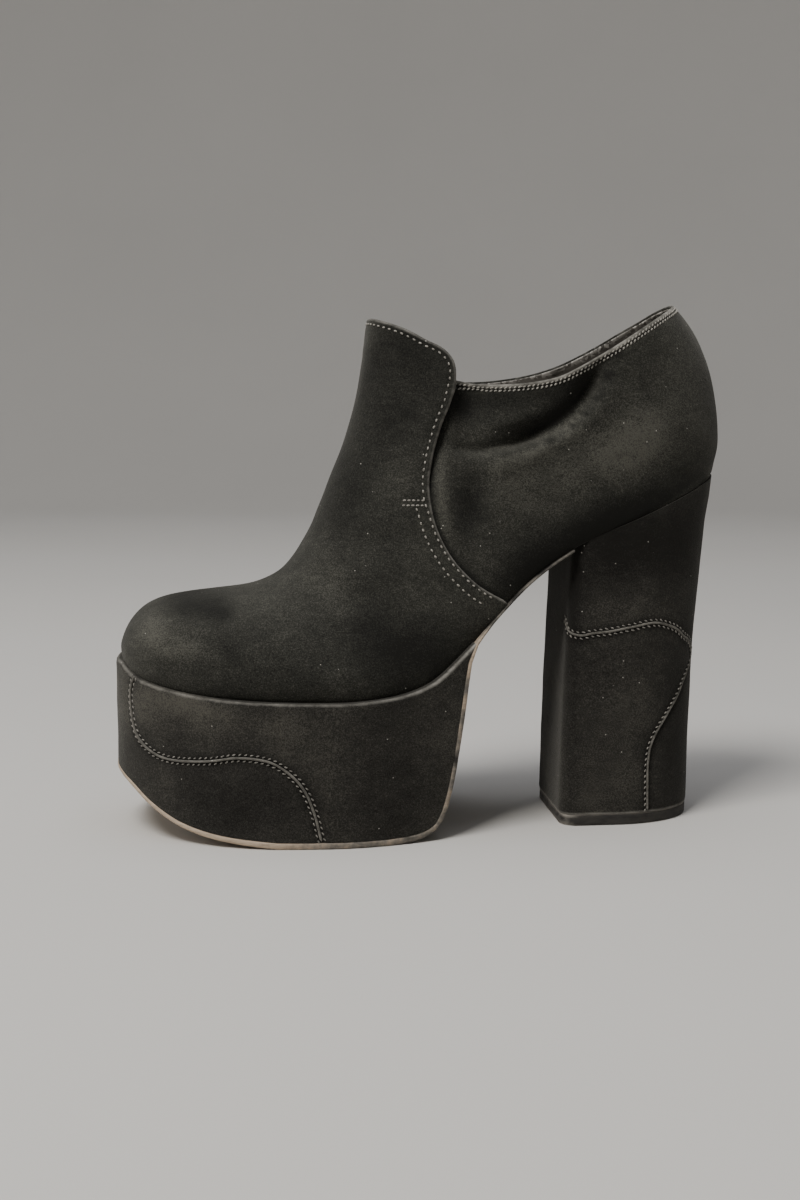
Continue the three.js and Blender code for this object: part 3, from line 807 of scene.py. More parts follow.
@dataclass
class Upper:
    """The vamp with its flap, the quarters and their lining."""

    last: Last
    vamp_wall: float = 2.2
    leather: float = 1.15
    lining: float = 0.85
    tuck: float = 3.8
    tuck_length: float = 30.0
    tuck_foot: float = 128.0
    tuck_rise: float = 30.0
    level_length: float = 90.0
    rounding: float = 0.9
    top_margin: float = 2.0
    flap_margin: float = 2.3
    seam_margin: float = 1.3
    seam_gap: float = 3.9
    seam_foot: float = 92.5
    bar_z: float = 130.3
    collar_margin: float = 1.6
    furrow: float = 0.3

    # --- where things are on the last
    def inside_edge(self, points: Array) -> tuple[Array, Array]:
        """How far points lie inside the vamp's and the flap's free edge, seen from the side.

        Args:
            points: the points.

        Returns:
            The distances, negative outside, and the share of the way along the edge.
        """
        gap, share, left = distance_to(self.last.free_edge, points[:, [0, 2]])
        return -gap * left, share

    def margin_at(self, points: Array, share: Array) -> Array:
        """How far inside the free edge the stitches run: closest in the seam below the bar tack."""
        margin = self.top_margin + (self.flap_margin - self.top_margin) * smooth((share - 0.3) / 0.1)
        return margin + (self.seam_margin - margin) * smooth((self.bar_z + 2 - points[..., 2]) / 9)

    def vamp_end(self, across: Array, inset: float, follow: bool = False) -> Array:
        """The sections in which the vamp's columns come to a line inside its free edge.

        Args:
            across: the columns, from -1 at the outer base to 1 at the inner one.
            inset: how far inside the line lies, in mm.
            follow: whether that is counted from the first row of stitches.

        Returns:
            The sections.
        """
        low, high = np.full(across.shape, 6.0), np.full(across.shape, TOP - 1e-6)
        for _ in range(24):
            middle = (low + high) / 2
            points = self.last.at(middle, across)[0]
            inside, share = self.inside_edge(points)
            wanted = inset + (self.margin_at(points, share) if follow else 0.0)
            low, high = np.where(inside > wanted, middle, low), np.where(inside > wanted, high, middle)
        return (low + high) / 2

    def vamp_skin(self, rows: int = 150, columns: int = 190) -> Skin:
        """The vamp's and the flap's surface.

        Args:
            rows: faces from the toe's tip to the free edge, closer together at the edge.
            columns: faces from base to base. They are evenly spread along the free edge, and
                lean over to an even spread round the toe.

        Returns:
            The surface.
        """
        across = np.linspace(-1, 1, 1201)
        end = self.vamp_end(across, self.rounding)
        edge = arc(self.last.at(end, across)[0])
        spread = np.linspace(0, 1, columns + 1)
        over_edge, end = (np.interp(spread * edge[-1], edge, values) for values in (across, end))
        girth = arc(self.last.at(np.full(across.shape, 8.0), across)[0])
        side = 2 * spread - 1
        over_toe = np.interp((1 + 0.5 * side + 0.5 * side * np.abs(side)) / 2 * girth[-1], girth, across)
        over_toe = (over_toe - over_toe[::-1]) / 2  # alike on both sides, so the toe's tip closes
        length = arc(self.last.at(self.last.places, np.full(self.last.places.shape, -0.3))[0])
        share = (1 - (1 - np.linspace(0, 1, rows + 1)) ** 1.35)[:, None]
        place = np.interp(share * np.interp(end, self.last.places, length), length, self.last.places)
        points, normals = self.last.at(place, over_toe + (over_edge - over_toe) * share**3)
        return Skin.grid(points, normals)

    def quarter_depth(self, points: Array) -> Array:
        """How far the quarters lie under the last's surface."""
        behind = points[:, 0] - self.last.edge_x(points[:, 2])
        free = smooth((points[:, 2] - self.tuck_foot) / self.tuck_rise)
        lap = LAP * (1 - smooth(behind / self.level_length))
        return lap + self.tuck * free * (1 - smooth(behind / self.tuck_length))

    def quarter_columns(self, share: Array, side: Side) -> tuple[Callable, float]:
        """The columns of one quarter, from its front edge round to the base or the back.

        Args:
            share: the columns, 0 at the front edge and 1 at the base.
            side: which quarter.

        Returns:
            A function from sections to the place across, and the section where the front edge
            meets the base.
        """
        places = self.last.places
        reach = self.last.reach(places, -UNDERLAP, side)
        foot = float(places[np.argmax(reach < 1.0) - 1])

        def across_of(place: Array) -> Array:
            front = np.interp(place, places, reach)
            return side.value * (front + share * (1 - front))

        return across_of, foot

    def collar_end(self, columns: Array, drop: float) -> dict[Side, tuple[Callable, float, Array]]:
        """Where the quarters' columns start and where they meet the collar.

        Args:
            columns: the columns, 0 at the front edge and 1 at the base or the back.
            drop: how far under the collar's edge they end, in mm.

        Returns:
            For each side, a function from sections to the place across, the first section and
            the last ones, which agree at the back.
        """
        found = {}
        for side in Side:
            across_of, foot = self.quarter_columns(columns, side)
            line = sideways(self.last.collar_lines[side], -drop)
            found[side] = (across_of, foot, self.last.climb(across_of, line, 16.5, columns.shape))
        back = (found[Side.OUTER][2][-1] + found[Side.INNER][2][-1]) / 2
        for _, _, top in found.values():
            top[-1] = back
        return found

    def quarter_skin(self, drop: float, rows: int = 132, columns: int = 132) -> Skin:
        """The surface of both quarters, joined at the back.

        Args:
            drop: how far under the collar's edge it ends, in mm.
            rows: faces from the foot of the front edge up to the collar.
            columns: faces from the front edge to the back.

        Returns:
            The surface.
        """
        halves = []
        for side, (across_of, foot, top) in self.collar_end(np.linspace(0, 1, columns + 1), drop).items():
            rise = np.sin(np.linspace(0, 1, rows + 1) * 1.38) / math.sin(1.38)
            place = foot + rise[:, None] * (top[None, :] - foot)
            over = np.stack([across_of(row) for row in place])
            points, normals = self.last.at(place, over)
            halves.append(Skin.grid(points, normals, flip=side is Side.OUTER))
        return halves[0].plus(halves[1])

    # --- rows of stitches
    def edge_row(self) -> Array:
        """The first row of stitches, from the outer base over the flap's top to the inner one."""
        across = np.linspace(-1, 1, 2401)
        end = self.vamp_end(across, 0.0, follow=True)
        keep = self.last.at(end, across)[0][:, 2] > self.seam_foot
        return np.stack([end[keep], across[keep]], 1)

    def inner_seam(self, side: Side) -> Array:
        """The second row of the vamp's seam on one side, below the bar tack.

        Args:
            side: which side of the foot.

        Returns:
            The line as [place, across], from the base up.
        """
        across = side.value * np.linspace(1, 0.2, 900)
        end = self.vamp_end(across, self.seam_gap, follow=True)
        z = self.last.at(end, across)[0][:, 2]
        keep = (z < self.bar_z - 2.4) & (z > self.seam_foot - 2)
        return np.stack([end[keep], across[keep]], 1)

    def bar(self, side: Side, z: float, start: float, end: float) -> Array:
        """A short level row inside the flap's edge.

        Args:
            side: which side of the foot.
            z: its height.
            start: its near end, in mm inside the edge.
            end: its far end.

        Returns:
            The line as [place, across].
        """
        margins = np.linspace(start, end, 24)
        low, high = np.full(24, 8.0), np.full(24, 20.0)
        for _ in range(26):
            place = (low + high) / 2
            reach = np.array([self.last.reach(place[i : i + 1], -m, side)[0] for i, m in enumerate(margins)])
            p, _ = self.last.at(place, side.value * reach)
            low, high = np.where(p[:, 2] < z, place, low), np.where(p[:, 2] < z, high, place)
        return np.stack([place, side.value * reach], 1)

    def collar_row(self, margin: float) -> Array:
        """The line a margin below the collar's edge, as [place, across].

        Args:
            margin: how far below, in mm.

        Returns:
            The line from the outer quarter's front round the back to the inner one's front.
        """
        ends = self.collar_end(np.linspace(0, 1, 700), margin)
        outer, inner = (np.stack([top, across_of(top)], 1) for across_of, _, top in ends.values())
        return np.vstack([outer, inner[-2::-1]])

    def on_vamp(self, row: Array) -> Seam:
        """A row of [place, across] laid on the vamp's outside."""
        points, normals = self.last.at(row[:, 0], row[:, 1])
        depth = pressed(VAMP_FOLDS + VAMP_SWELLS, points)
        return Seam(points - normals * depth[:, None], normals)

    def on_quarters(self, row: Array) -> Seam:
        """A row of [place, across] laid on the quarters' outside."""
        points, normals = self.last.at(row[:, 0], row[:, 1])
        depth = self.quarter_depth(points) + pressed(QUARTER_FOLDS + QUARTER_SWELLS, points)
        return Seam(points - normals * depth[:, None], normals)

    # --- meshes and their dress
    def lines(self, rows: Sequence[Array]) -> list[Array]:
        """Rows of [place, across] as lines on the last."""
        return [self.last.at(row[:, 0], row[:, 1])[0] for row in rows]

    def vamp_rows(self) -> list[Array]:
        """The rows of stitches along the vamp's and the flap's edge."""
        return [self.edge_row(), *(self.inner_seam(side) for side in Side)]

    def bar_rows(self) -> list[Array]:
        """The close rows of the bar tacks."""
        return [self.bar(side, z, start, end) for side in Side
                for z, start, end in ((self.bar_z, 1.8, 11.4), (self.bar_z - 1.9, 2.4, 11.0))]

    def vamp(self, frame: Frame, finishes: Finishes) -> bpy.types.Object:
        """The vamp with its flap and lining, in one wall.

        Args:
            frame: where the last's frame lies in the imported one.
            finishes: the materials.

        Returns:
            The piece.
        """
        skin = self.vamp_skin()
        at_rest = pressed(VAMP_FOLDS + VAMP_SWELLS, skin.points) + 0.10 * wobble(skin.points, 9.0, 3.0)
        furrow = self.furrow * near(self.lines(self.vamp_rows() + self.bar_rows()), skin.points, 0.9)
        body = skin.wall(at_rest + furrow, at_rest + self.vamp_wall)
        edge = np.exp(-((self.inside_edge(body.points)[0] / 0.9) ** 2))
        # The colour values add the vamp's painted light and shade to its real patches; the wear values
        # lighten the free edge.
        marks = {"wear_and_highlight": 0.6 * edge, "tone_and_painted_light": pressed(VAMP_TONES_AND_LIGHT, body.points)}
        return body.made("vamp", frame, [finishes.upper, finishes.lining, finishes.upper], marks, 75.0)

    def quarters(self, frame: Frame, finishes: Finishes) -> tuple[bpy.types.Object, bpy.types.Object]:
        """The quarters' suede and the lining inside it.

        Args:
            frame: where the last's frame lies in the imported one.
            finishes: the materials.

        Returns:
            The suede and the lining.
        """
        skin = self.quarter_skin(0.0)
        folds = QUARTER_FOLDS + QUARTER_SWELLS
        at_rest = self.quarter_depth(skin.points) + pressed(folds, skin.points)
        at_rest = at_rest + 0.12 * wobble(skin.points, 8.0)
        furrow = self.furrow * near(self.lines([self.collar_row(self.collar_margin)]), skin.points, 0.9)
        body = skin.wall(at_rest + furrow, at_rest + self.leather)
        rim = [self.on_quarters(self.collar_row(0.05)).points]
        # The colour values here are painted light and shade: the quarter's painted marks, painted shade in
        # the main fold's crease and a painted shadow on the quarter along the vamp's free edge.
        crease_shade = near([QUARTER_FOLDS[0].on(self.last)], body.points, 2.6)
        shadow = np.exp(-((self.inside_edge(body.points)[0] / 1.3) ** 2))
        marks = {"wear_and_highlight": (0.95 + 0.5 * wobble(body.points, 2.2)) * near(rim, body.points, 1.0),
                 "tone_and_painted_light": pressed(QUARTER_PAINTED_LIGHT, body.points) - 1.8 * crease_shade - 1.3 * shadow}
        suede = body.made("quarters", frame, [finishes.upper] * 3, marks, 75.0)
        skin = self.quarter_skin(0.6, rows=120, columns=120)
        folds = tuple(replace(f, width=1.5 * f.width) if isinstance(f, Fold) and f.depth > 2 else f
                      for f in folds)
        at_rest = self.quarter_depth(skin.points) + pressed(folds, skin.points) + self.leather + 0.04
        body = skin.wall(at_rest, at_rest + self.lining)
        lining = body.made("quarter_lining", frame, [finishes.lining] * 3,
                           {"wear_and_highlight": near(rim, body.points, 2.4)})
        return suede, lining

    def build(self, frame: Frame, finishes: Finishes, stitching: Stitching) -> list[Piece]:
        """Builds and dresses the upper.

        Args:
            frame: where the last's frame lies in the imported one.
            finishes: the materials.
            stitching: what sews the rows.

        Returns:
            Its pieces.
        """
        suede, lining = self.quarters(frame, finishes)
        stitches = stitching.sew("vamp_stitches", [self.on_vamp(row) for row in self.vamp_rows()], pitch=2.8,
                                 length=1.45, radius=0.4, thread=finishes.thread, frame=frame,
                                 sink=self.furrow - 0.16)
        collar = [self.on_quarters(self.collar_row(margin)) for margin in (0.75, self.collar_margin + 0.3)]
        for row in collar:
            row.slant = 30.0
        close = stitching.sew("close_stitches", [*collar, *(self.on_vamp(row) for row in self.bar_rows())],
                              pitch=1.8, length=1.5, radius=0.38, thread=finishes.thread, frame=frame,
                              sink=self.furrow - 0.16)
        return [
            Piece(self.vamp(frame, finishes), "upper", "suede_upper"),
            Piece(suede, "upper", "suede_upper"),
            Piece(lining, "upper", "leather_insole"),
            Piece(stitches, "upper", "suede_upper"),
            Piece(close, "upper", "suede_upper"),
        ]


# ------------------------------------------------------------------ what the sole stands on
GAP, OUTSOLE = 0.3, 3.0
# the sole leather's visible thickness: at the toe, under the ball, up the breast and in the waist
TOE_SHEET, BALL_SHEET, BREAST_SHEET, WAIST_SHEET = 1.5, 2.6, 2.0, 0.9
UPRIGHT = 60.0  # in front of this x the columns of the sole's walls are upright
WALKING = [(-9, 30), (-2, 23.8), (3.9, 19.5), (11.9, 13), (21.5, 7.3), (31.3, 3.9), (41.1, 2), (50.4, 0.9),
           (60, 0)]
BREAST = [(102, 0), (113.5, 1), (120.5, 4), (124, 8.5), (126.4, 15), (129, 26), (132, 44.4), (134.4, 60),
          (136, 68.2)]
WAIST_START, WAIST_BLEND = 137.0, 9.0
TOE_LEDGE, LEDGE, WAIST_LEDGE = 2.8, 4.2, 0.8


@dataclass
class Footprint:
    """The outlines that the sole's pieces follow, seen from above and from the side."""

    last: Last
    base: Array = field(init=False)
    sole: Array = field(init=False)
    plan: Array = field(init=False)
    outward: Array = field(init=False)

    def __post_init__(self) -> None:
        """Works out the base line, the sole's lowest line and the plan of the upper's edge."""
        self.base, outer, inner = self.last.base()
        waist = sideways(self.base, -GAP - OUTSOLE)
        waist = waist[waist[:, 0] > WAIST_START + 2]
        self.sole = np.vstack([curve(WALKING, 120), curve(BREAST, 120), waist])
        self.plan = resample(np.vstack([inner[::-1, :2], outer[1:, :2]]), 0.8)
        step = np.gradient(self.plan, axis=0)
        for _ in range(6):
            step[1:-1] = (step[:-2] + step[1:-1] + step[2:]) / 3
        self.outward = unit(np.stack([step[:, 1], -step[:, 0]], 1))

    def ledge(self, x: Array) -> Array:
        """How far the sole stands out from the upper at x."""
        full = TOE_LEDGE + (LEDGE - TOE_LEDGE) * smooth(x / 60)
        return full + (WAIST_LEDGE - full) * smooth((x - WAIST_START) / WAIST_BLEND)

    def side(self, side: Side, grow: Callable[[Array], Array]) -> tuple[Array, Array]:
        """The plan of one side, grown outward.

        Args:
            side: which side of the foot.
            grow: gives the growth in mm at x.

        Returns:
            Points from the toe's tip to the seat's back, with x always rising, and their
            outward directions.
        """
        grown = self.plan + self.outward * grow(self.plan[:, 0])[:, None]
        tip = int(np.argmin(grown[:, 0]))
        part = slice(tip, None) if side is Side.OUTER else slice(tip, None, -1)
        line, out = grown[part], self.outward[part]
        ahead = np.maximum.accumulate(line[:, 0])
        keep = np.concatenate([[True], line[1:, 0] > ahead[:-1] + 1e-6])
        return line[keep], out[keep]

    def sheet(self, above: float = 0.0) -> tuple[Array, Array]:
        """The sole leather seen from the side: it is pared thin in front, up the breast and in the waist.

        Args:
            above: how far over the leather the second line lies.

        Returns:
            Its lower line and its upper one, as [x, z].
        """
        x = self.sole[:, :1]
        thick = TOE_SHEET + (BALL_SHEET - TOE_SHEET) * smooth((x - WALKING[0][0]) / 70)
        thick = thick - (BALL_SHEET - BREAST_SHEET) * smooth((x - 112) / 12)
        waist = smooth((x - 132) / 10)
        thick = thick - (BREAST_SHEET - WAIST_SHEET) * waist
        lift = (OUTSOLE - WAIST_SHEET) * waist
        return sideways(self.sole, lift), sideways(self.sole, lift + thick + above)

    def base_z(self, x: Array) -> Array:
        """The height of the upper's edge at x."""
        return np.interp(x, self.base[:, 0], self.base[:, 1])


@dataclass
class Wall:
    """One side of a piece of the sole: its outline, and columns that fan from below to above."""

    line: Array
    out: Array
    low: Array
    high: Array

    @staticmethod
    def of(print_: Footprint, side: Side, low: Array, high: Array, grow: Callable, split: float, end: float,
           front: int, rear: int) -> Wall:
        """Lays out the columns of one side.

        Args:
            print_: the footprint.
            side: which side.
            low: the lower edge seen from the side.
            high: the upper edge.
            grow: how far the outline stands out from the upper, at x.
            split: in front of this x the columns are upright.
            end: where the piece ends.
            front: columns in front of the split.
            rear: columns behind it.

        Returns:
            The wall.
        """
        line, out = print_.side(side, grow)
        run = arc(line)
        at_split = float(np.interp(split, line[:, 0], run))
        s = at_split * np.linspace(0, 1, front + 1)
        x = np.interp(s, run, line[:, 0])
        edges = []
        for edge in (low, high):
            z = np.interp(x, edge[:, 0], edge[:, 1])
            rest = edge[(edge[:, 0] > split) & (edge[:, 0] < end)]
            ends = [[v, float(np.interp(v, edge[:, 0], edge[:, 1]))] for v in (split, end)]
            rest = resample(np.vstack([ends[:1], rest, ends[1:]]), 0.2)
            share = np.linspace(0, 1, rear + 1)[1:]
            length = arc(rest)
            rx, rz = (np.interp(share * length[-1], length, rest[:, k]) for k in range(2))
            edges.append(np.stack([np.r_[s, np.interp(rx, line[:, 0], run)], np.r_[z, rz]], 1))
        return Wall(line, out, edges[0], edges[1])

    def points(self, share: Array, inset: Array, rise: Array) -> tuple[Array, Array]:
        """Points on or near the wall.

        Args:
            share: heights as shares from the lower edge to the upper one, for a column's points.
            inset: how far inside the outline each of them is.
            rise: how far above its place each of them is.

        Returns:
            Columns by points by three, and the outward directions.
        """
        run = arc(self.line)
        s = self.low[:, :1] + share * (self.high[:, :1] - self.low[:, :1])
        z = self.low[:, 1:] + share * (self.high[:, 1:] - self.low[:, 1:]) + rise
        x, y = (np.interp(s, run, self.line[:, k]) for k in range(2))
        nx, ny = (np.interp(s, run, self.out[:, k]) for k in range(2))
        return np.stack([x - nx * inset, y - ny * inset, z], -1), np.stack([nx, ny, 0 * nx], -1)


def tree_of(lines: Sequence[Array]) -> kdtree.KDTree:
    """A search tree over the points of some lines."""
    points = np.vstack([resample(line, 0.5) for line in lines])
    tree = kdtree.KDTree(len(points))
    for i, point in enumerate(points):
        tree.insert(point, i)
    tree.balance()
    return tree


def near(lines: Sequence[Array], points: Array, width: float) -> Array:
    """How near points are to some lines: 1 on a line, gone a few widths away.

    Args:
        lines: the lines.
        points: the points.
        width: how fast it falls off, in mm.

    Returns:
        The nearness at each point.
    """
    tree = tree_of(lines)
    gaps = np.array([tree.find(point)[2] for point in points])
    return np.exp(-((gaps / width) ** 2))


def wobble(points: Array, size: float, seed: float = 0.0) -> Array:
    """Smooth unevenness of a given size in mm, from about -1 to 1, at points."""
    return np.array([noise.noise(Vector(p) / size + Vector((seed, seed, seed))) for p in points.tolist()])


# ------------------------------------------------------------------ finishes
def linear(colour: str) -> tuple[float, float, float, float]:
    """An sRGB hex colour as the linear values a shader takes."""
    parts = [int(colour[k : k + 2], 16) / 255 for k in (1, 3, 5)]
    red, green, blue = (v / 12.92 if v <= 0.04045 else ((v + 0.055) / 1.055) ** 2.4 for v in parts)
    return red, green, blue, 1.0


def node(tree: bpy.types.NodeTree, kind: str, inputs: dict[str | int, object] | None = None,
         **settings: object) -> bpy.types.Node:
    """Adds a node with its settings and links.

    Args:
        tree: the tree it goes in.
        kind: the node's type.
        inputs: for some of its inputs, by name or number, a value or the output to link.
        settings: its properties.

    Returns:
        The node.
    """
    made = tree.nodes.new(kind)
    for name, value in settings.items():
        setattr(made, name, value)
    for key, value in (inputs or {}).items():
        if isinstance(value, bpy.types.NodeSocket):
            tree.links.new(value, made.inputs[key])
        else:
            made.inputs[key].default_value = value
    return made


def blank(name: str) -> tuple[bpy.types.Material, bpy.types.NodeTree]:
    """A new material with an empty tree."""
    material = bpy.data.materials.new(name)
    material.use_nodes = True
    material.node_tree.nodes.clear()
    return material, material.node_tree


def per_metre(size: float) -> float:
    """The scale of a pattern whose features are this many millimetres apart."""
    return 1 / (size * MM)


def spot(tree: Tree) -> Socket:
    """Where a point lies in its piece's own frame."""
    return node(tree, "ShaderNodeTexCoord").outputs["Object"]


def painted(tree: Tree, name: str) -> Socket:
    """The value that the mesh carries at a point, by name."""
    return node(tree, "ShaderNodeAttribute", attribute_name=name).outputs["Fac"]


def stretched(tree: Tree, place: Socket, scale: Sequence[float], turn: Sequence[float] = (0, 0, 0)) -> Socket:
    """A place in a frame that is scaled and turned."""
    return node(tree, "ShaderNodeMapping", {"Vector": place, "Scale": scale, "Rotation": turn}).outputs[0]


def cloud(tree: Tree, place: Socket, size: float, detail: float = 2.0, **more: float) -> Socket:
    """A noise with features of a size in mm; more sets its Roughness and Distortion."""
    given = {"Vector": place, "Scale": per_metre(size), "Detail": detail, **more}
    return node(tree, "ShaderNodeTexNoise", given).outputs["Fac"]


def cells(tree: Tree, place: Socket, size: float) -> bpy.types.Node:
    """Scattered cells of a size in mm, each with its own colour and the distance from its middle."""
    return node(tree, "ShaderNodeTexVoronoi", {"Vector": place, "Scale": per_metre(size)})


def maths(tree: Tree, operation: str, *values: Socket | float) -> Socket:
    """The result of an operation on values."""
    return node(tree, "ShaderNodeMath", dict(enumerate(values)), operation=operation).outputs[0]


def ranged(tree: Tree, value: Socket, low: float, high: float,
           to: tuple[float, float] = (0.0, 1.0)) -> Socket:
    """A value between low and high, moved to another range."""
    given = {"Value": value, "From Min": low, "From Max": high, "To Min": to[0], "To Max": to[1]}
    return node(tree, "ShaderNodeMapRange", given).outputs[0]


def shaded(tree: Tree, level: Socket, *stops: tuple[float, str]) -> Socket:
    """The colour of a level.

    Args:
        tree: the material's tree.
        level: the level.
        stops: two levels or more, rising, each with its sRGB hex colour.

    Returns:
        The colour, blended between the stops.
    """
    made = node(tree, "ShaderNodeValToRGB", {"Fac": level})
    row = made.color_ramp.elements
    for k in (0, -1):
        row[k].position, row[k].color = stops[k][0], linear(stops[k][1])
    for position, colour in stops[1:-1]:
        row.new(position).color = linear(colour)
    return made.outputs[0]


def mixed(tree: Tree, share: Socket | float, first: Socket | tuple, second: Socket | tuple,
          blend: str = "MIX") -> Socket:
    """Two colours mixed by a share."""
    return node(tree, "ShaderNodeMix", {0: share, 6: first, 7: second}, data_type="RGBA",
                blend_type=blend).outputs[2]


def surfaced(tree: Tree, look: dict[str, object], height: Socket, strength: float, depth: float) -> None:
    """Closes a material's tree with a shader and a bump.

    Args:
        tree: the tree.
        look: the shader's inputs.
        height: the height that the bump shows.
        strength: how strongly it shows.
        depth: how deep it is, in mm.
    """
    bump = node(tree, "ShaderNodeBump", {"Height": height, "Strength": strength, "Distance": depth * MM})
    shader = node(tree, "ShaderNodeBsdfPrincipled", {**look, "Normal": bump.outputs[0]})
    node(tree, "ShaderNodeOutputMaterial", {"Surface": shader.outputs[0]})


@dataclass(frozen=True)
class Suede:
    """Goat suede dyed charcoal and brushed.

    Its open nap has no gloss: it scatters the light softly, brightens a little where it turns away from the
    eye, and lies lighter or darker in patches wherever something has stroked it. Values carried by the mesh
    add painted light and shade to its colour, and a painted highlight along the platform's top edge.
    """

    name: str = "goat_suede_charcoal"
    flat: str = "#161614"
    middle: str = "#2c2c28"
    raised: str = "#4c4b45"
    worn: str = "#9a9790"
    lint: str = "#c6c3bb"
    patch: float = 26.0
    stroke: float = 6.0
    nap: float = 0.8
    grain: float = 0.4
    lint_spacing: float = 5.0
    lint_radius: float = 0.24
    lint_rarity: float = 0.55
    lint_strength: float = 0.55

    def material(self) -> bpy.types.Material:
        """The finish as a material."""
        material, tree = blank(self.name)
        place = spot(tree)
        patch = cloud(tree, place, self.patch, 3.0)
        brushed = stretched(tree, place, (1.0, 1.0, 1.9), (0.0, 0.45, 0.3))
        stroke = cloud(tree, brushed, self.stroke, 4.0, Roughness=0.62, Distortion=0.5)
        nap = cloud(tree, place, self.nap, 3.0, Roughness=0.75)
        grain = cloud(tree, place, self.grain, 0.0)
        level = maths(tree, "MULTIPLY_ADD", patch, 0.8, -1.0)
        # The mesh's colour values add painted light and shade: lighter where a surface faces the lamps,
        # darker in creases, hollows and undersides, and beside the cords.
        for pattern, strength in ((stroke, 0.5), (nap, 1.0), (grain, 0.7), (painted(tree, "tone_and_painted_light"), 0.5)):
            level = maths(tree, "MULTIPLY_ADD", pattern, strength, level)
        colour = shaded(tree, level, (0.0, self.flat), (0.5, self.middle), (1.0, self.raised))
        # The wear values lighten the rubbed nap; along the platform's top edge they are partly a painted
        # highlight.
        rubbed = ranged(tree, maths(tree, "MULTIPLY", stroke, painted(tree, "wear_and_highlight")), 0.12, 0.75)
        colour = mixed(tree, rubbed, colour, linear(self.worn))
        lint = cells(tree, place, self.lint_spacing)
        speck = maths(tree, "LESS_THAN", lint.outputs["Distance"], self.lint_radius / self.lint_spacing)
        chosen = maths(tree, "GREATER_THAN", lint.outputs["Color"], self.lint_rarity)
        speck = maths(tree, "MULTIPLY", maths(tree, "MULTIPLY", speck, chosen), self.lint_strength)
        look = {"Base Color": mixed(tree, speck, colour, linear(self.lint)), "Roughness": 0.96,
                "Specular IOR Level": 0.1, "Sheen Weight": 0.22, "Sheen Roughness": 0.5,
                "Sheen Tint": linear("#b2b0a9")}
        surfaced(tree, look, maths(tree, "MULTIPLY_ADD", stroke, 1.6, nap), 0.5, 0.35)
        return material


@dataclass(frozen=True)
class LiningLeather:
    """Pigskin lining, aniline dyed and left uncoated.

    It is smooth and dull, with its pores in small groups and a slightly uneven colour where a
    foot has polished it. Along the collar, where the attribute "wear" is high, its raw edge is pale.
    """

    name: str = "pigskin_lining"
    dark: str = "#2a2723"
    light: str = "#46423c"
    raw: str = "#a5a19a"
    pore: float = 1.4
    patch: float = 22.0

    def material(self) -> bpy.types.Material:
        """The finish as a material."""
        material, tree = blank(self.name)
        place = spot(tree)
        patch = cloud(tree, place, self.patch, 5.0)
        pores = cells(tree, place, self.pore)
        hole = ranged(tree, pores.outputs["Distance"], 0.05, 0.35)
        level = maths(tree, "MULTIPLY_ADD", hole, 0.3, patch)
        colour = shaded(tree, level, (0.35, self.dark), (1.0, self.light))
        frayed = ranged(tree, maths(tree, "MULTIPLY", painted(tree, "wear_and_highlight"), pores.outputs["Color"]), 0.1,
                        0.5)
        look = {"Base Color": mixed(tree, frayed, colour, linear(self.raw)),
                "Roughness": ranged(tree, patch, 0.0, 1.0, (0.78, 0.55)), "Specular IOR Level": 0.3}
        surfaced(tree, look, hole, 0.4, 0.15)
        return material


@dataclass(frozen=True)
class SoleLeather:
    """Vegetable-tanned sole leather, its cut edge inked dark and then rubbed bare.

    The edge shows the leather's layers as fine level lines, dark where the ink holds and tan
    where walking has taken it off. The attribute "wear" says where.
    """

    name: str = "veg_tan_sole_leather"
    ink: str = "#282623"
    grey: str = "#6d6860"
    tan: str = "#b3a18c"
    fibre: float = 0.9
    patch: float = 7.0

    def material(self) -> bpy.types.Material:
        """The finish as a material."""
        material, tree = blank(self.name)
        place = spot(tree)
        fibre = cloud(tree, stretched(tree, place, (0.12, 0.12, 1.0)), self.fibre, 5.0, Roughness=0.65)
        patch = cloud(tree, place, self.patch, 5.0, Roughness=0.7)
        worn = maths(tree, "ADD", painted(tree, "wear_and_highlight"), maths(tree, "MULTIPLY_ADD", patch, 1.3, -0.65))
        colour = shaded(tree, worn, (0.1, self.ink), (0.45, self.grey), (0.85, self.tan))
        shade = ranged(tree, fibre, 0.25, 0.75, (0.62, 1.12))
        look = {"Base Color": mixed(tree, 1.0, colour, shade, "MULTIPLY"), "Roughness": 0.68,
                "Specular IOR Level": 0.3}
        surfaced(tree, look, fibre, 0.55, 0.2)
        return material


@dataclass(frozen=True)
class Thread:
    """Waxed polyester sewing thread.

    Each stitch is a short bright bead with a soft gloss, and its plies make it slightly uneven.
    """

    name: str
    dark: str
    light: str
    ply: float = 0.5

    def material(self) -> bpy.types.Material:
        """The finish as a material."""
        material, tree = blank(self.name)
        ply = cloud(tree, spot(tree), self.ply)
        look = {"Base Color": shaded(tree, ply, (0.3, self.dark), (0.7, self.light)), "Roughness": 0.6,
                "Specular IOR Level": 0.35, "Sheen Weight": 0.15}
        surfaced(tree, look, ply, 0.5, 0.1)
        return material


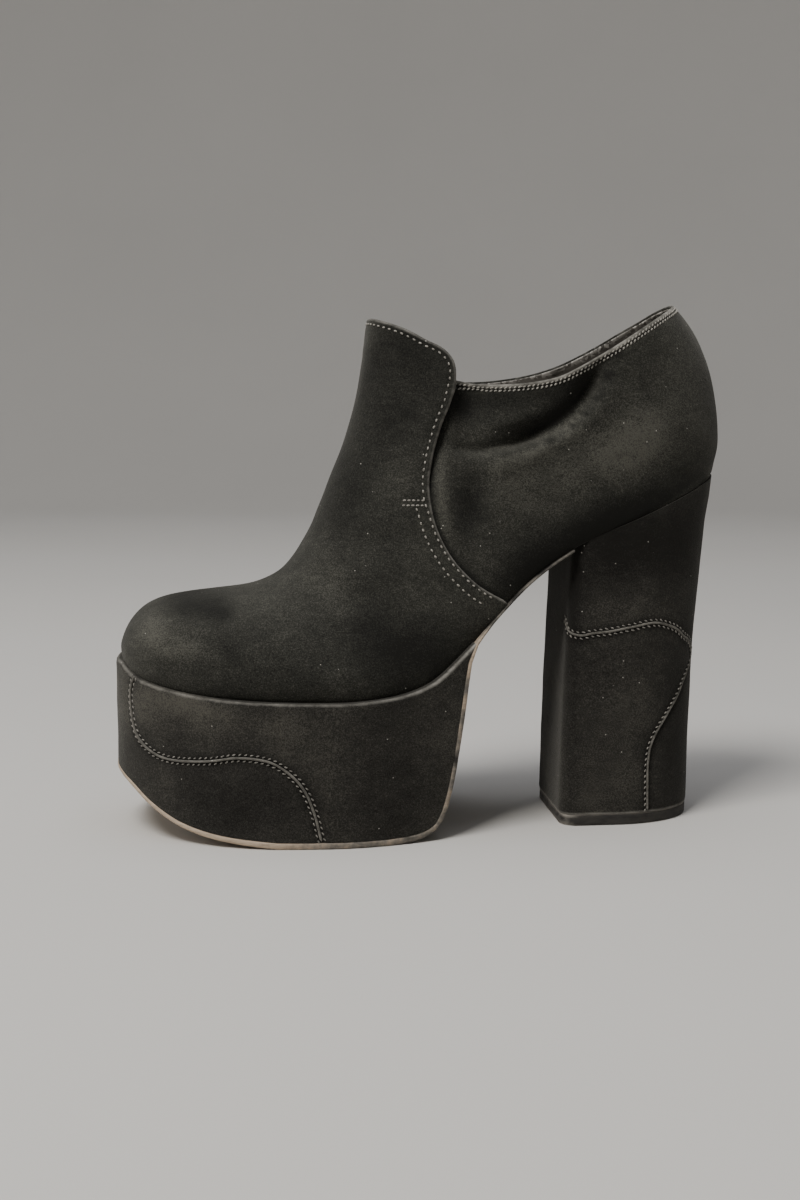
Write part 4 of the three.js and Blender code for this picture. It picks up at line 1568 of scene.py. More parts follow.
@dataclass(frozen=True)
class LiftRubber:
    """Moulded black rubber, scuffed by the ground.

    It is dull and grey rather than black, with fine scratches and pale dust at its edges.
    """

    name: str = "lift_rubber"
    dark: str = "#232120"
    light: str = "#383632"
    dust: str = "#8b867e"
    scuff: float = 2.2

    def material(self) -> bpy.types.Material:
        """The finish as a material."""
        material, tree = blank(self.name)
        lying = stretched(tree, spot(tree), (0.35, 0.35, 1.0))
        scuff = cloud(tree, lying, self.scuff, 6.0, Roughness=0.7)
        colour = shaded(tree, scuff, (0.35, self.dark), (0.68, self.light))
        dusty = ranged(tree, maths(tree, "MULTIPLY", scuff, painted(tree, "wear_and_highlight")), 0.2, 0.6)
        look = {"Base Color": mixed(tree, dusty, colour, linear(self.dust)), "Roughness": 0.72,
                "Specular IOR Level": 0.35}
        surfaced(tree, look, scuff, 0.4, 0.15)
        return material


@dataclass(frozen=True)
class StudioPaper:
    """Pale matt paper, for the floor."""

    name: str = "studio_paper"
    light: str = "#c3c1bd"
    dark: str = "#bdbbb7"

    def material(self) -> bpy.types.Material:
        """The finish as a material."""
        material, tree = blank(self.name)
        colour = mixed(tree, cloud(tree, spot(tree), 400.0), linear(self.dark), linear(self.light))
        shader = node(tree, "ShaderNodeBsdfPrincipled", {
            "Base Color": colour, "Roughness": 0.9, "Specular IOR Level": 0.2})
        node(tree, "ShaderNodeOutputMaterial", {"Surface": shader.outputs[0]})
        return material


@dataclass
class Finishes:
    """Every material of the shoe."""

    upper: bpy.types.Material = field(default_factory=lambda: Suede().material())
    sole: bpy.types.Material = field(
        default_factory=lambda: Suede("goat_suede_on_sole", flat="#161513", middle="#2b2a27",
                                      raised="#494741").material())
    lining: bpy.types.Material = field(default_factory=lambda: LiningLeather().material())
    sock: bpy.types.Material = field(
        default_factory=lambda: LiningLeather("sock_leather", dark="#332d27", light="#5a5147").material())
    leather: bpy.types.Material = field(default_factory=lambda: SoleLeather().material())
    thread: bpy.types.Material = field(
        default_factory=lambda: Thread("waxed_thread_grey", dark="#5f5c56", light="#a8a49b").material())
    dark_thread: bpy.types.Material = field(
        default_factory=lambda: Thread("waxed_thread_charcoal", dark="#4b4944", light="#8b877f").material())
    rubber: bpy.types.Material = field(default_factory=lambda: LiftRubber().material())


# ------------------------------------------------------------------ stitches
class Stitching:
    """Sews rows of stitches with one Geometry Nodes tree, which lays a thread bead on each point."""

    def __init__(self) -> None:
        """Builds the tree."""
        self.tree = bpy.data.node_groups.new("stitches", "GeometryNodeTree")
        face = self.tree.interface
        face.new_socket("Geometry", in_out="INPUT", socket_type="NodeSocketGeometry")
        self.sockets = {
            name: face.new_socket(name, in_out="INPUT", socket_type=f"NodeSocket{kind}")
            for name, kind in (("Length", "Float"), ("Radius", "Float"), ("Unevenness", "Float"),
                               ("Seed", "Int"),
                               ("Thread", "Material"))
        }
        face.new_socket("Geometry", in_out="OUTPUT", socket_type="NodeSocketGeometry")
        tree = self.tree
        given = node(tree, "NodeGroupInput")
        bead = node(tree, "GeometryNodeMeshUVSphere", {"Segments": 8, "Rings": 6, "Radius": 1.0})
        half = node(tree, "ShaderNodeMath", {0: given.outputs["Length"], 1: 0.5}, operation="MULTIPLY")
        size = node(tree, "ShaderNodeCombineXYZ", {"X": half.outputs[0], "Y": given.outputs["Radius"],
                                                   "Z": given.outputs["Radius"]})
        bead = node(tree, "GeometryNodeTransform", {"Geometry": bead.outputs[0], "Scale": size.outputs[0]})
        along = node(tree, "GeometryNodeInputNamedAttribute", {"Name": "along"}, data_type="FLOAT_VECTOR")
        out = node(tree, "GeometryNodeInputNamedAttribute", {"Name": "out"}, data_type="FLOAT_VECTOR")
        turn = node(tree, "FunctionNodeAxesToRotation", {0: along.outputs[0], 1: out.outputs[0]},
                    primary_axis="X", secondary_axis="Z")
        swing = node(tree, "FunctionNodeRandomValue", {"Min": (0.0, 0.0, -0.16), "Max": (0.0, 0.0, 0.16),
                                                       "Seed": given.outputs["Seed"]},
                     data_type="FLOAT_VECTOR")
        swing = node(tree, "FunctionNodeEulerToRotation", {0: swing.outputs[0]})
        turn = node(tree, "FunctionNodeRotateRotation", {0: turn.outputs[0], 1: swing.outputs[0]},
                    rotation_space="LOCAL")
        least = node(tree, "ShaderNodeMath", {0: 1.0, 1: given.outputs["Unevenness"]}, operation="SUBTRACT")
        stretch = node(tree, "FunctionNodeRandomValue", {2: least.outputs[0], 3: 1.0,
                                                         "Seed": given.outputs["Seed"]}, data_type="FLOAT")
        laid = node(tree, "GeometryNodeInstanceOnPoints", {
            "Points": given.outputs["Geometry"], "Instance": bead.outputs[0], "Rotation": turn.outputs[0],
            "Scale": stretch.outputs[1]})
        real = node(tree, "GeometryNodeRealizeInstances", {0: laid.outputs[0]})
        soft = node(tree, "GeometryNodeSetShadeSmooth", {0: real.outputs[0]})
        dressed = node(tree, "GeometryNodeSetMaterial",
                       {0: soft.outputs[0], "Material": given.outputs["Thread"]})
        node(tree, "NodeGroupOutput", {0: dressed.outputs[0]})

    def sew(self, name: str, seams: Sequence[Seam], pitch: float, length: float, radius: float,
            thread: bpy.types.Material, frame: Frame, sink: float = 0.0) -> bpy.types.Object:
        """Sews some rows as one piece.

        Args:
            name: the piece's name.
            seams: the rows.
            pitch: the distance from stitch to stitch, in mm.
            length: a stitch's length.
            radius: the thread's radius.
            thread: the thread's material.
            frame: where the last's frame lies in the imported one.
            sink: how deep the middle of a stitch lies under the row.

        Returns:
            The stitches, as one plain mesh.
        """
        middles, along, out = (np.vstack(part) for part in zip(*(seam.spaced(pitch) for seam in seams)))
        mesh = bpy.data.meshes.new(f"{name}.holes")
        mesh.from_pydata(frame.place(middles - out * sink).tolist(), [], [])
        for mark, vectors in (("along", along), ("out", out)):
            attribute = mesh.attributes.new(mark, "FLOAT_VECTOR", "POINT")
            attribute.data.foreach_set("vector", vectors.astype(np.float32).ravel())
        carrier = bpy.data.objects.new(f"{name}.holes", mesh)
        bpy.context.scene.collection.objects.link(carrier)
        modifier = carrier.modifiers.new("stitches", "NODES")
        modifier.node_group = self.tree
        values = {"Length": length * MM, "Radius": radius * MM, "Unevenness": 0.18, "Seed": 7,
                  "Thread": thread}
        for key, value in values.items():
            modifier[self.sockets[key].identifier] = value
        graph = bpy.context.evaluated_depsgraph_get()
        real = bpy.data.meshes.new_from_object(carrier.evaluated_get(graph))
        bpy.data.objects.remove(carrier)
        real.name = name
        piece = bpy.data.objects.new(name, real)
        bpy.context.scene.collection.objects.link(piece)
        return piece


# ------------------------------------------------------------------ the sole
@dataclass
class Cord:
    """A covered piping cord that lies in a seam, half sunk, with a row of stitches on each side."""

    radius: float = 0.48
    proud: float = 0.25
    stitch_gap: float = 1.2
    slant: float = 26.0
    sides: int = 8

    def tube(self, seams: Sequence[Seam]) -> Body:
        """The cord along some seams.

        Args:
            seams: the lines it follows, on the surface.

        Returns:
            The closed tubes as one body.
        """
        points: list[Array] = []
        faces: list[tuple[int, ...]] = []
        for seam in seams:
            middles, along, out = seam.spaced(0.9)
            middles = middles + out * (self.proud - 0.35 * self.radius)
            over = unit(np.cross(along, out))
            turn = np.linspace(0, 2 * math.pi, self.sides, endpoint=False)[None, :, None]
            step = np.arange(len(middles))
            size = self.radius * np.clip(np.minimum(step, step[::-1]) + 0.4, 0, 1)[:, None, None]
            uneven = 1 + 0.12 * wobble(middles, 3.0)[:, None, None]
            circle = np.cos(turn) * over[:, None] + np.sin(turn) * out[:, None]
            rings = middles[:, None] + size * uneven * circle
            part = Body.through(rings[:, ::-1])
            faces += [tuple(k + sum(map(len, points)) for k in face) for face in part.faces]
            points.append(part.points)
        return Body(np.vstack(points), faces)

    def stitches(self, seam: Seam) -> list[Seam]:
        """The rows beside the cord.

        Args:
            seam: the line the cord follows.

        Returns:
            The row to its left and the row to its right.
        """
        along = unit(np.gradient(seam.points, axis=0))
        over = unit(np.cross(seam.normals, along))
        return [Seam(seam.points + over * self.stitch_gap * turn, seam.normals,
                     self.slant) for turn in (1, -1)]


@dataclass
class Platform:
    """The suede-covered block under the forefoot, with a corded S-shaped seam on each side."""

    footprint: Footprint
    inset: float = 0.25
    edge: float = 1.5
    cord: Cord = field(default_factory=Cord)
    seam_line: tuple[tuple[float, float], ...] = (
        (6.4, 63.2), (5.5, 60.9), (4.7, 57.6), (4.5, 53.7), (4.9, 47.8), (6, 42.2), (8, 38.4), (11.1, 35.6),
        (15, 33.5),
        (19.6, 32.5), (25.3, 32.4), (31, 32.8), (36.6, 33.5), (44.1, 34.9), (51.5, 34.8), (57.1, 33.7),
        (60.8, 31.9),
        (64.5, 29.2), (68.2, 25.4), (71.1, 20.8), (73.3, 15.1), (74.8, 10), (75.9, 5), (76.4, 3.4))

    def walls(self) -> dict[Side, Wall]:
        """Both sides' walls."""
        low = self.footprint.sheet(0.04)[1]
        high = sideways(self.footprint.base, -GAP)
        x = np.linspace(100, 150, 2000)
        gap = np.interp(x, high[:, 0], high[:, 1]) - np.interp(x, low[:, 0], low[:, 1])
        end = float(x[np.argmax(gap < 0.6)])
        return {side: Wall.of(self.footprint, side, low, high, lambda v: self.footprint.ledge(v) - self.inset,
                              96.0, end, 130, 70) for side in Side}

    def body(self, lines: Sequence[Array]) -> Body:
        """The block.

        Args:
            lines: the seams' lines, along which the suede dips.

        Returns:
            The closed body.
        """
        halves = []
        for side, wall in self.walls().items():
            height = np.linalg.norm(wall.high - wall.low, axis=1)[:, None]
            turn = np.linspace(0, math.pi / 2, 6)[None, :]
            edge = np.minimum(self.edge, 0.45 * height)
            share = np.hstack([np.linspace(0, 1, 46)[None, :] * (1 - edge / height),
                               1 - edge / height * (1 - np.sin(turn[:, 1:])), np.ones_like(height),
                               np.ones_like(height)])
            inset = np.hstack([np.zeros((len(height), 46)), edge * (1 - np.cos(turn[:, 1:])),
                               edge + 1.2 + 0 * height, edge + 2.6 + 0 * height])
            points, out = wall.points(share, inset, np.zeros_like(inset))
            flat = points.reshape(-1, 3)
            dip = 0.35 * near(lines, flat, 1.5) + 0.16 * wobble(flat, 14.0, 5.0)
            dip = dip + 0.06 * wobble(flat, 4.0, 9.0)
            points = points - out * dip.reshape(points.shape[:2])[..., None]
            halves.append(points if side is Side.OUTER else points[:, ::-1])
        return Body.through(np.concatenate(halves, axis=1)[:, ::-1])

    def seams(self) -> list[Seam]:
        """The cord's line on both sides."""
        line = resample(curve(self.seam_line, 12 * len(self.seam_line)), 0.6)
        found = []
        for wall in self.walls().values():
            x = line[:, 0]
            y = np.interp(x, wall.line[:, 0], wall.line[:, 1])
            out = np.stack([np.interp(x, wall.line[:, 0], wall.out[:, k]) for k in range(2)] + [0 * x], 1)
            found.append(Seam(np.stack([x, y, line[:, 1]], 1), out))
        return found

    def build(self, frame: Frame, finishes: Finishes, stitching: Stitching) -> list[Piece]:
        """Builds and dresses the platform.

        Args:
            frame: where the last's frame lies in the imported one.
            finishes: the materials.
            stitching: what sews the rows.

        Returns:
            Its pieces.
        """
        seams = self.seams()
        body = self.body([seam.points for seam in seams])
        walls = self.walls()
        rim = [wall.points(np.ones((1, 1)), np.full((1, 1), 0.4), np.zeros((1, 1)))[0][:, 0]
               for wall in walls.values()]
        none = np.zeros((1, 1))
        foot = [wall.points(none, none, none)[0][:, 0] for wall in walls.values()]
        # The top edge is lighter from real wear and partly from a painted highlight that grows broader
        # towards the back; the colour values add painted light and shade and a painted shadow along each
        # cord.
        back = smooth((body.points[:, 0] - 90) / 30)
        wear_and_highlight = (0.6 + 0.25 * back) * near(rim, body.points, 1.2) + 0.2 * near(foot, body.points, 0.8)
        marks = {"wear_and_highlight": wear_and_highlight,
                 "tone_and_painted_light": pressed(PLATFORM_PAINTED_LIGHT, body.points)
                 - 0.8 * near([seam.points for seam in seams], body.points, 2.1)}
        block = body.made("platform_block", frame, [finishes.sole], marks)
        tube = self.cord.tube(seams)
        cord = tube.made("platform_cord", frame, [finishes.sole], {
            "wear_and_highlight": np.full(len(tube.points), 0.55), "tone_and_painted_light": np.full(len(tube.points), 0.6)}, 80.0)
        rows = [row for seam in seams for row in self.cord.stitches(seam)]
        stitches = stitching.sew("platform_stitches", rows, pitch=2.3, length=1.6, radius=0.32,
                                 thread=finishes.dark_thread, frame=frame, sink=0.12)
        return [Piece(thing, "platform", "suede_platform") for thing in (block, cord, stitches)]


# Painted light and shade on the platform: lighter towards its top and front, darker towards its back and its
# foot.
PLATFORM_PAINTED_LIGHT = (
    Swell((14, 52), 0.5, (22, 10), 0, None),
    Swell((30, 54), 0.6, (16, 3.5), -8, None),
    Swell((54, 47), 0.5, (20, 5), 0, None),
    Swell((96, 34), -0.3, (26, 22), 0, None),
    Swell((38, 18), -0.35, (34, 12), 0, None),
)


@dataclass
class Outsole:
    """One sheet of sole leather under the platform, up its back and along the waist."""

    footprint: Footprint
    end: float = 176.4

    def build(self, frame: Frame, finishes: Finishes) -> list[Piece]:
        """Builds and dresses the outsole.

        Args:
            frame: where the last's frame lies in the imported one.
            finishes: the materials.

        Returns:
            Its piece.
        """
        halves = []
        for side in Side:
            wall = Wall.of(self.footprint, side, *self.footprint.sheet(), self.footprint.ledge, UPRIGHT,
                           self.end,
                           110, 330)
            share = np.array([[0, 0.02, 0.07, 0.2, 0.4, 0.6, 0.8, 0.93, 0.98, 1.0]])
            inset = np.array([[1.6, 0.75, 0.28, 0.04, 0, 0, 0.04, 0.25, 0.6, 1.6]])
            points, out = wall.points(share, inset, np.zeros_like(inset))
            flat = points.reshape(-1, 3)
            worn = (0.12 * wobble(flat, 2.2, 1.0) + 0.14 * wobble(flat, 7.0, 2.0)).reshape(points.shape[:2])
            worn[:, [0, -1]] = 0
            points = points - out * np.abs(worn)[..., None]
            halves.append(points if side is Side.OUTER else points[:, ::-1])
        body = Body.through(np.concatenate(halves, axis=1)[:, ::-1])
        x, z = body.points[:, 0], body.points[:, 2]
        # walked bare in front and under the ball, still inked in patches up the breast
        tread = 1.0 - 0.5 * smooth((x - 40) / 50)
        tread = tread * (1 - smooth((x - 100) / 40)) * (1 - smooth((z - 26) / 16))
        breast = (0.5 + 0.35 * wobble(body.points, 7.0, 4.0)) * (1 - 0.55 * smooth((x - 140) / 14))
        breast = breast + 0.3 * np.exp(-(((x - 136) / 5) ** 2) - ((z - 68) / 6) ** 2)
        piece = body.made("outsole_sheet", frame, [finishes.leather],
                          {"wear_and_highlight": np.maximum(tread, breast)}, 60.0)
        return [Piece(piece, "outsole", "leather_outsole")]


@dataclass
class Insole:
    """The leather-covered board inside the shoe."""

    footprint: Footprint
    inset: float = 3.9
    thickness: float = 2.5
    end: float = 233.4

    def build(self, frame: Frame, finishes: Finishes) -> list[Piece]:
        """Builds and dresses the insole.

        Args:
            frame: where the last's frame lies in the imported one.
            finishes: the materials.

        Returns:
            Its piece.
        """
        base = self.footprint.base
        low, high = sideways(base, GAP), sideways(base, GAP + self.thickness)
        sides = []
        for side in Side:
            wall = Wall.of(self.footprint, side, low, high, lambda v: np.full_like(v, -self.inset), UPRIGHT,
                           self.end,
                           60, 120)
            share = np.array([[0, 0.3, 0.75, 0.93, 1.0]])
            inset = np.array([[0.5, 0, 0.15, 0.5, 1.3]])
            sides.append(wall.points(share, inset, np.zeros_like(inset))[0])
        outer, inner = sides
        across = np.linspace(0, 1, 13)[1:-1][None, :, None]
        middle = outer[:, -1:] * (1 - across) + inner[:, -1:] * across
        middle[..., 2] -= (0.9 * np.sin(math.pi * across) ** 2)[..., 0]
        body = Body.through(np.concatenate([outer, middle, inner[:, ::-1]], axis=1)[:, ::-1])
        piece = body.made("sock_insole", frame, [finishes.sock])
        return [Piece(piece, "insole", "leather_insole")]


# ------------------------------------------------------------------ the heel
HEEL = np.array([
    (0, 172.8, 229.8, 27.0), (7, 173.1, 230, 27), (30, 173.5, 230.1, 27), (53, 174.2, 230.8, 27.1),
    (72, 175, 231.4, 27.3), (91, 175.9, 232.9, 27.7), (106, 176.6, 234.1, 28.2), (120, 177.4, 235.3, 28.8),
    (130, 177.9, 236.9, 29.2), (150, 178.6, 238.9, 29.6),
])
HEEL_ROUND, HEEL_FULLNESS, HEEL_CORNER = 34.0, 2.05, 7.0
TOP_LIFT = 4.6
LIFT_BACK, LIFT_MIDDLE = 229.63, 203.0  # where the top lift ends behind, and its middle


@dataclass
class HeelOutline:
    """The heel's outline at any height: a straight breast, round corners and a round back."""

    inset: float = 0.0
    breast_steps: int = 8
    corner_steps: int = 8
    flank_steps: int = 16
    back_steps: int = 40

    def half(self, z: Array) -> Array:
        """The outer half of the outline, from the middle of the breast to the middle of the back.

        Args:
            z: heights, of any shape.

        Returns:
            For each height, the outline's points.
        """
        breast, back, half = (np.interp(z, HEEL[:, 0], HEEL[:, k])[..., None] for k in (1, 2, 3))
        width, front, centre = half - self.inset, breast + self.inset, back - HEEL_ROUND
        level = np.linspace(0, 1, self.breast_steps + 1)[:-1]
        turn = np.linspace(0, math.pi / 2, self.corner_steps + 1)
        side = np.linspace(0, 1, self.flank_steps + 1)[1:]
        angle = np.linspace(math.pi / 2, 0, self.back_steps + 1)[1:]
        over, along = np.sin(angle) ** (2 / HEEL_FULLNESS), np.cos(angle) ** (2 / HEEL_FULLNESS)
        one = np.ones_like(width)
        x = np.concatenate([
            front + 0 * level, front + HEEL_CORNER * (1 - np.cos(turn)),
            front + HEEL_CORNER + side * (centre - front - HEEL_CORNER),
            centre + (HEEL_ROUND - self.inset) * along], -1)
        y = np.concatenate([
            level * (width - HEEL_CORNER), width - HEEL_CORNER * (1 - np.sin(turn)), width * (one + 0 * side),
            width * over], -1)
        return np.stack([x, -y, np.broadcast_to(np.asarray(z)[..., None], x.shape)], -1)

    def ring(self, z: Array) -> Array:
        """The whole outline at heights, from the breast's middle round the outer side."""
        outer = self.half(z)
        inner = outer[..., -2:0:-1, :] * np.array([1, -1, 1])
        return np.concatenate([outer, inner], -2)

    def at(self, share: Array, z: Array) -> tuple[Array, Array]:
        """Points of the outer half at shares of the way round.

        Args:
            share: counted in steps of the outline.
            z: their heights.

        Returns:
            The points and the ways out.
        """
        outline = self.half(z)
        i = np.clip(share.astype(int), 1, outline.shape[-2] - 3)
        t = (share - i)[:, None]
        each = np.arange(len(share))
        point = outline[each, i] * (1 - t) + outline[each, i + 1] * t
        step = outline[each, i + 2] - outline[each, i - 1]
        return point, unit(np.stack([step[:, 1], -step[:, 0], 0 * step[:, 0]], 1) * -1)


@dataclass
class Heel:
    """The suede-covered block heel, with a corded seam that wraps its back corner."""

    footprint: Footprint
    outline: HeelOutline = field(default_factory=HeelOutline)
    cord: Cord = field(default_factory=Cord)
    rows: int = 84
    seam_line: tuple[tuple[float, float], ...] = (
        (6.4, 82.4), (8, 80.7), (9.9, 77.9), (14.1, 76.6), (17.6, 77.4), (24.9, 78.1), (32.7, 79.5), (38.5,
        81), (42.3, 80.9), (47.8, 78.9), (51.2, 76.9), (53.7, 74.8), (58.5, 72.2), (61.5, 69), (62.3, 66),
        (61, 62.6), (58, 59.3), (55.2, 55.5), (52.9, 51.5), (50.4, 47.9), (48, 44.3), (45.8, 40.7), (43.7,
        37), (42.2, 33.2), (41.3, 29), (40.9, 23.6), (40.9, 17.5), (41.1, 5.2))

    def seams(self) -> list[Seam]:
        """The cord's line on both sides."""
        line = curve(self.seam_line, 10 * len(self.seam_line))
        points, out = self.outline.at(line[:, 0], line[:, 1])
        fine = resample(np.hstack([points, out]), 0.6)
        mirror = np.array([1, -1, 1])
        outer = Seam(fine[:, :3], unit(fine[:, 3:]))
        start = int(np.argmax(fine[:, 0] > 177.5))
        return [outer, Seam(outer.points[start:] * mirror, outer.normals[start:] * mirror)]

    def body(self, lines: Sequence[Array]) -> Body:
        """The block, up to the seat.

        Args:
            lines: the seams' lines, along which the suede dips.

        Returns:
            The closed body.
        """
        bottom = TOP_LIFT + 0.06
        top = np.full(self.outline.ring(np.array([60.0])).shape[1], 120.0)
        each = np.arange(len(top))
        for _ in range(12):
            x = self.outline.ring(top)[each, each, 0]
            top = self.footprint.base_z(x) - GAP
        share = np.linspace(0, 1, self.rows + 1)
        z = bottom + share[:, None] * (top - bottom)[None, :]
        rings = self.outline.ring(z)[:, each, each]
        flat = rings.reshape(-1, 3)
        middle = np.array([203.0, 0.0, 0.0])
        out = unit((flat - middle) * np.array([1, 1, 0]))
        dip = 0.35 * near(lines, flat, 1.5) + 0.14 * wobble(flat, 16.0, 5.0) + 0.05 * wobble(flat, 4.0, 9.0)
        rings = (flat - out * dip[:, None]).reshape(rings.shape)
        low = rings[0] + (middle - rings[0]) * np.array([1, 1, 0]) * 0.12
        rings[0] = rings[0] + (middle - rings[0]) * np.array([1, 1, 0]) * 0.008
        closing = []
        for k in (0.985, 0.9, 0.7, 0.45, 0.15):
            ring = rings[-1].copy()
            ring[:, :2] = middle[:2] + (ring[:, :2] - middle[:2]) * k
            ring[:, 2] = self.footprint.base_z(ring[:, 0]) - GAP
            closing.append(ring)
        return Body.through(np.stack([low, *rings, *closing]))

    def build(self, frame: Frame, finishes: Finishes, stitching: Stitching) -> list[Piece]:
        """Builds and dresses the heel.

        Args:
            frame: where the last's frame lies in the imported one.
            finishes: the materials.
            stitching: what sews the rows.

        Returns:
            Its pieces.
        """
        seams = self.seams()
        body = self.body([seam.points for seam in seams])
        points = body.points
        foot = np.exp(-(((points[:, 2] - TOP_LIFT) / 0.7) ** 2))
        corner = np.exp(-(((points[:, 0] - 177.0) / 2.6) ** 2)) * (1 - smooth((points[:, 2] - 70) / 30))
        # A painted shadow along each side of the cord and the heel's painted light and shade marks; the
        # colour is also darker along the breast's corner low down.
        beside = near([seam.points for seam in seams], points, 2.1)
        marks = {"wear_and_highlight": 0.8 * foot, "tone_and_painted_light": pressed(HEEL_PAINTED_LIGHT, points) - 0.3 * corner - 0.8 * beside}
        block = body.made("heel_block", frame, [finishes.sole], marks)
        tube = self.cord.tube(seams)
        cord = tube.made("heel_cord", frame, [finishes.sole], {
            "wear_and_highlight": np.full(len(tube.points), 0.55), "tone_and_painted_light": np.full(len(tube.points), 0.6)}, 80.0)
        rows = []
        for seam in seams:
            front, back = self.cord.stitches(seam)
            if front.points[-1, 0] > back.points[-1, 0]:
                front, back = back, front
            upper = back.points[:, 2] > 66
            rows += [front, Seam(back.points[upper], back.normals[upper], back.slant)]
        stitches = stitching.sew("heel_stitches", rows, pitch=2.3, length=1.6, radius=0.32,
                                 thread=finishes.dark_thread, frame=frame, sink=0.12)
        return [Piece(thing, "heel", "suede_heel") for thing in (block, cord, stitches)]


# Painted light and shade on the heel: a painted shadow under the seat where the quarters hang over, painted
# shade at the top of the breast and down the back, and a faint painted highlight low on the side.
HEEL_PAINTED_LIGHT = (
    Swell((200, 112), -1.1, (40, 18), 0, None),
    Swell((198, 38), 0.2, (16, 26), 0, None),
    Swell((226, 40), -0.8, (12, 50), 0, None),
    Swell((174, 98), -1.8, (5, 26), 0, None),
)


@dataclass
class TopLift:
    """The rubber wearing piece under the heel."""

    outline: HeelOutline = field(default_factory=lambda: HeelOutline(inset=0.3))

    def build(self, frame: Frame, finishes: Finishes) -> list[Piece]:
        """Builds and dresses the top lift.

        Args:
            frame: where the last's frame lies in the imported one.
            finishes: the materials.

        Returns:
            Its piece.
        """
        middle = np.array([LIFT_MIDDLE, 0.0])
        rings = []
        for z, share in ((0, 0.9), (0, 0.975), (0.12, 0.992), (0.5, 1.0), (1.6, 1.0), (2.9, 1.0), (4.1, 1.0),
                         (4.5, 0.994), (4.6, 0.98), (4.6, 0.9)):
            ring = self.outline.ring(np.array([float(z)]))[0]
            ring[:, :2] = middle + (ring[:, :2] - middle) * share
            if 0.1 < z < 4.55:
                ring[:, :2] -= unit(ring[:, :2] - middle) * np.abs(0.14 * wobble(ring, 3.0, 6.0))[:, None]
            rings.append(ring)
        body = Body.through(np.stack(rings))
        z = body.points[:, 2]
        corner = np.exp(-(((body.points[:, 0] - 175) / 4) ** 2))
        wear_and_highlight = 1.2 * np.exp(-(((z - 4.6) / 0.4) ** 2)) + np.exp(-((z / 0.5) ** 2)) * 0.7 + 0.6 * corner
        piece = body.made("lift_block", frame, [finishes.rubber], {"wear_and_highlight": wear_and_highlight}, 60.0)
        return [Piece(piece, "top_lift", "rubber_top_lift")]


# ------------------------------------------------------------------ the stage
@dataclass(frozen=True)
class Lamp:
    """A soft studio light.

    Attributes:
        name: its name.
        place: where it hangs, in metres.
        aim: what it points at.
        size: its width and height.
        power: its power in watts.
        colour: its colour.
    """

    name: str
    place: tuple[float, float, float]
    aim: tuple[float, float, float]
    size: tuple[float, float]
    power: float
    colour: str = "#ffffff"

    def hung(self) -> None:
        """Adds the light to the scene."""
        light = bpy.data.lights.new(self.name, "AREA")
        light.shape = "RECTANGLE"
        light.size, light.size_y = self.size
        light.energy = self.power
        light.color = linear(self.colour)[:3]
        lamp = bpy.data.objects.new(self.name, light)
        lamp.location = self.place
        way = Vector(self.aim) - Vector(self.place)
        lamp.rotation_euler = way.to_track_quat("-Z", "Y").to_euler()
        bpy.context.scene.collection.objects.link(lamp)


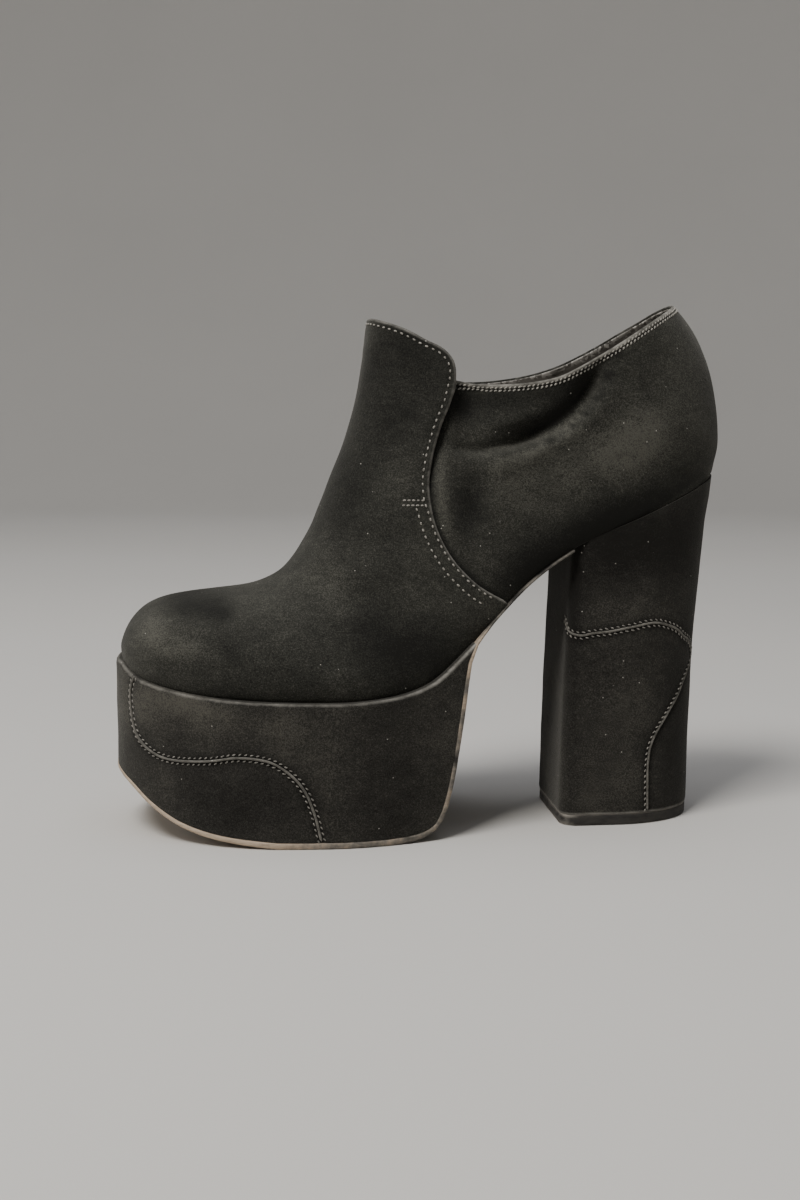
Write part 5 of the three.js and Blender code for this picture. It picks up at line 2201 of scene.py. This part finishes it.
@dataclass(frozen=True)
class Stage:
    """The pale floor, the lights and the camera."""

    radius: float = 3.2
    fillet: float = 1.4
    height: float = 3.4
    sides: int = 72
    camera_place: tuple[float, float, float] = (-0.0772, -0.6612, 0.1710)
    camera_pitch: float = 82.92
    camera_turn: float = -6.0
    focal_length: float = 50.0
    lamps: tuple[Lamp, ...] = (
        Lamp("window", (-0.85, -0.95, 2.05), (0.0, 0.0, 0.08), (0.8, 0.8), 59.0, "#fffcf8"),
        Lamp("sky", (0.0, 0.1, 2.3), (0.0, 0.0, 0.0), (1.8, 1.8), 20.0, "#f6f8ff"),
        Lamp("side", (-1.7, -0.3, 1.0), (-0.05, 0.0, 0.08), (0.9, 0.9), 5.0),
    )

    def floor(self) -> bpy.types.Object:
        """A round floor that rises to a wall in one soft sweep."""
        turn = np.linspace(0, math.pi / 2, 17)
        profile = [(0.35, 0.0), (1.0, 0.0)]
        profile += [(self.radius - self.fillet + self.fillet * math.sin(t), self.fillet * (1 - math.cos(t)))
                    for t in turn]
        profile.append((self.radius, self.height))
        sides = self.sides
        around = np.linspace(0, 2 * math.pi, sides, endpoint=False)
        points = [(0.0, 0.0, 0.0)]
        points += [(r * math.cos(a), r * math.sin(a), z) for r, z in profile for a in around]
        faces = [(0, 1 + k, 1 + (k + 1) % sides) for k in range(sides)]
        for ring in range(len(profile) - 1):
            low = 1 + ring * sides
            high = low + sides
            faces += [(low + k, high + k, high + (k + 1) % sides,
                       low + (k + 1) % sides) for k in range(sides)]
        mesh = bpy.data.meshes.new("studio_floor")
        mesh.from_pydata(points, [], faces)
        mesh.shade_smooth()
        mesh.materials.append(StudioPaper().material())
        floor = bpy.data.objects.new("studio_floor", mesh)
        bpy.context.scene.collection.objects.link(floor)
        return floor

    def camera(self) -> None:
        """The camera, at the height of the heel, looking a little down and across the shoe."""
        lens = bpy.data.cameras.new("camera")
        lens.lens = self.focal_length
        lens.sensor_width = 36.0
        lens.clip_start = 0.01
        camera = bpy.data.objects.new("camera", lens)
        camera.location = self.camera_place
        camera.rotation_euler = (math.radians(self.camera_pitch), 0.0, math.radians(self.camera_turn))
        bpy.context.scene.collection.objects.link(camera)
        bpy.context.scene.camera = camera

    def build(self) -> None:
        """Builds the floor, the lights, the camera and a dim pale surround."""
        self.floor()
        self.camera()
        for lamp in self.lamps:
            lamp.hung()
        world = bpy.data.worlds.new("surround")
        world.use_nodes = True
        world.node_tree.nodes["Background"].inputs["Color"].default_value = linear("#dfe3ea")
        world.node_tree.nodes["Background"].inputs["Strength"].default_value = 0.1
        bpy.context.scene.world = world


def main() -> None:
    """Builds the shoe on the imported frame."""
    logging.basicConfig(level=logging.INFO, format="%(name)s: %(message)s")
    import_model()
    frame = Frame.from_heel(LIFT_BACK)
    finishes = Finishes()
    stitching = Stitching()
    last = Last()
    footprint = Footprint(last)
    pieces = Upper(last).build(frame, finishes, stitching)
    pieces += Insole(footprint).build(frame, finishes)
    pieces += Platform(footprint).build(frame, finishes, stitching)
    pieces += Outsole(footprint).build(frame, finishes)
    pieces += Heel(footprint).build(frame, finishes, stitching)
    pieces += TopLift().build(frame, finishes)
    for piece in pieces:
        piece.placed()
    Stage().build()


if __name__ == "__main__":
    main()
